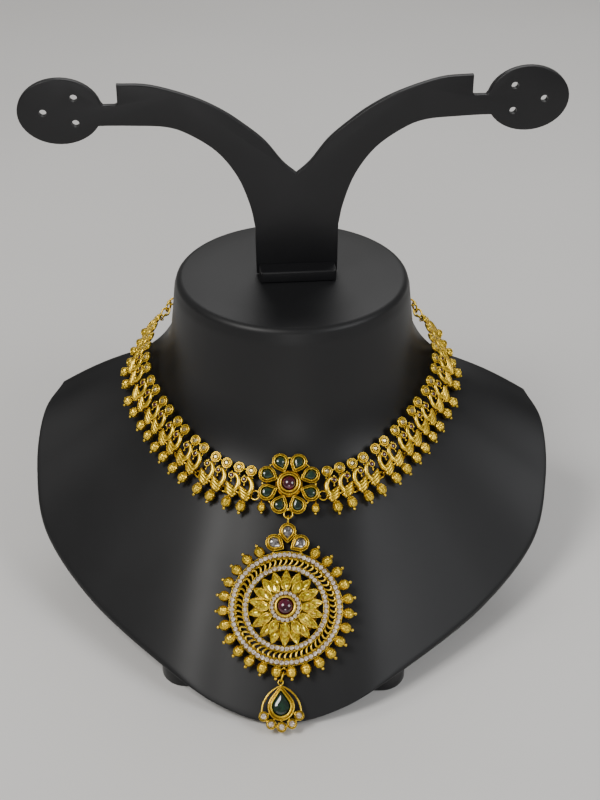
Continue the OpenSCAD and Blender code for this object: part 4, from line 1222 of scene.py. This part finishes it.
def build_chain():
    """The chain behind the neck, with a barrel clasp in its middle."""
    ring_mid = in_frame(joints[-1], (0, 0, RING_Z))
    route = Route(np.vstack([ring_mid, CHAIN]))
    end = LINK_LEN / 2 - LINK_WIRE
    start = RING_R - RING_WIRE - LINK_WIRE - LINK_PLAY + end
    stop = route.total - CLASP_HALF - 2 * LINK_WIRE - LINK_PLAY - end
    pitch = (stop - start) / (SIDE_LINKS - 1)
    link = oval_link()
    rows = [Shape(), Shape()]
    for i in range(SIDE_LINKS):
        s = start + pitch * i
        a, b = route.at(s - end), route.at(min(s + end, route.total))
        o = (a + b) / 2
        m = make_frame(o, b - a, unit([o[0], o[1], 0])) @ turn("x", 90 if i % 2 == 0 else 0)
        for side in (1, -1):
            rows[i % 2].add(link, side_place(side, m))
    rows[0].in_gold("chain_first", "chain_even")
    rows[1].in_gold("chain_second", "chain_odd")
    half = [(CLASP_R - less, x) for less, x in BARREL]
    place = side_place(1, move(*CHAIN[-1]))
    s = Shape().add(lathe([(r, -x) for r, x in half[::-1]] + half, 32), place @ turn("y", 90))
    for side in (-1, 1):
        s.add(hoop(CLASP_EYE, LINK_WIRE, 28), place @ move(side * (CLASP_HALF + CLASP_EYE)))
    s.in_gold("barrel_clasp", "clasp")


# The set, the lights and the camera

FLOOR_HALF = 6000
# Name, place, size, power and colour of each light. All look at the bust.
LIGHTS = (("key", (-0.6, -0.55, 1.1), (0.45, 0.45), 10, (1, 0.985, 0.96)),
          ("fill", (0.85, -0.5, 0.8), (0.5, 0.5), 5, (0.97, 0.98, 1)),
          ("front", (0.05, -1.3, 0.3), (0.3, 0.3), 2, (1, 1, 1)),
          ("back", (0.1, 0.8, 0.9), (0.9, 0.4), 4, (1, 1, 1)))
LIGHT_AIM = Vector((0, -0.05, 0.09))
AMBIENT, AMBIENT_STRENGTH = (1, 0.98, 0.95), 0.25
# Camera: angles in degrees, distance from its target, focal length in pixels of the picture.
CAMERA_SIDE, CAMERA_UP, CAMERA_AWAY = 1.8, 33, 560
CAMERA_TARGET = (4.6, -38.9, 85.3)
FOCAL, PICTURE_H, SENSOR_H = 1347, 800, 24


def build_stage():
    """A plain pale floor."""
    w = FLOOR_HALF
    corners = [(-w, -w, 0), (w, -w, 0), (w, w, 0), (-w, w, 0)]
    mesh = Shape().add((corners, [(0, 1, 2, 3)]), soft=False).mesh("floor")
    m, nt, b = new_material("pale_floor")
    tone = ramp(nt, noise(nt, 3, 2, 0.5), (0.3, (0.70, 0.69, 0.675)), (0.7, (0.74, 0.73, 0.715)))
    fill(nt, b, Base_Color=tone, Roughness=0.85)
    mesh.materials.append(m)
    new_object("floor", mesh)


def build_lights():
    for name, at, size, power, color in LIGHTS:
        data = bpy.data.lights.new(name, "AREA")
        data.shape = "RECTANGLE"
        data.size, data.size_y = size
        data.energy = power
        data.color = color
        o = new_object(name, data)
        o.location = at
        o.rotation_euler = (Vector(at) - LIGHT_AIM).to_track_quat("Z", "Y").to_euler()
    world = bpy.data.worlds.new("studio")
    bpy.context.scene.world = world
    world.use_nodes = True
    bg = world.node_tree.nodes["Background"]
    bg.inputs["Color"].default_value = (*AMBIENT, 1)
    bg.inputs["Strength"].default_value = AMBIENT_STRENGTH


def build_camera():
    """The photograph's view."""
    side, lift = radians(CAMERA_SIDE), radians(CAMERA_UP)
    back = vec(sin(side) * cos(lift), -cos(side) * cos(lift), sin(lift))
    right = vec(cos(side), sin(side), 0)
    m = np.eye(4)
    m[:3, 0], m[:3, 1], m[:3, 2] = right, np.cross(back, right), back
    m[:3, 3] = (CAMERA_TARGET + back * CAMERA_AWAY) * MM
    data = bpy.data.cameras.new("camera")
    data.sensor_fit = "VERTICAL"
    data.sensor_height = SENSOR_H
    data.lens = SENSOR_H * FOCAL / PICTURE_H
    data.clip_start = 0.01
    cam = new_object("camera", data)
    cam.matrix_world = Matrix(m.tolist())
    bpy.context.scene.camera = cam


build_bust()
build_base()
build_stand()
build_links()
build_joining_rings()
build_flower()
build_pendant()
build_drop()
build_chain()
build_stage()
build_lights()
build_camera()
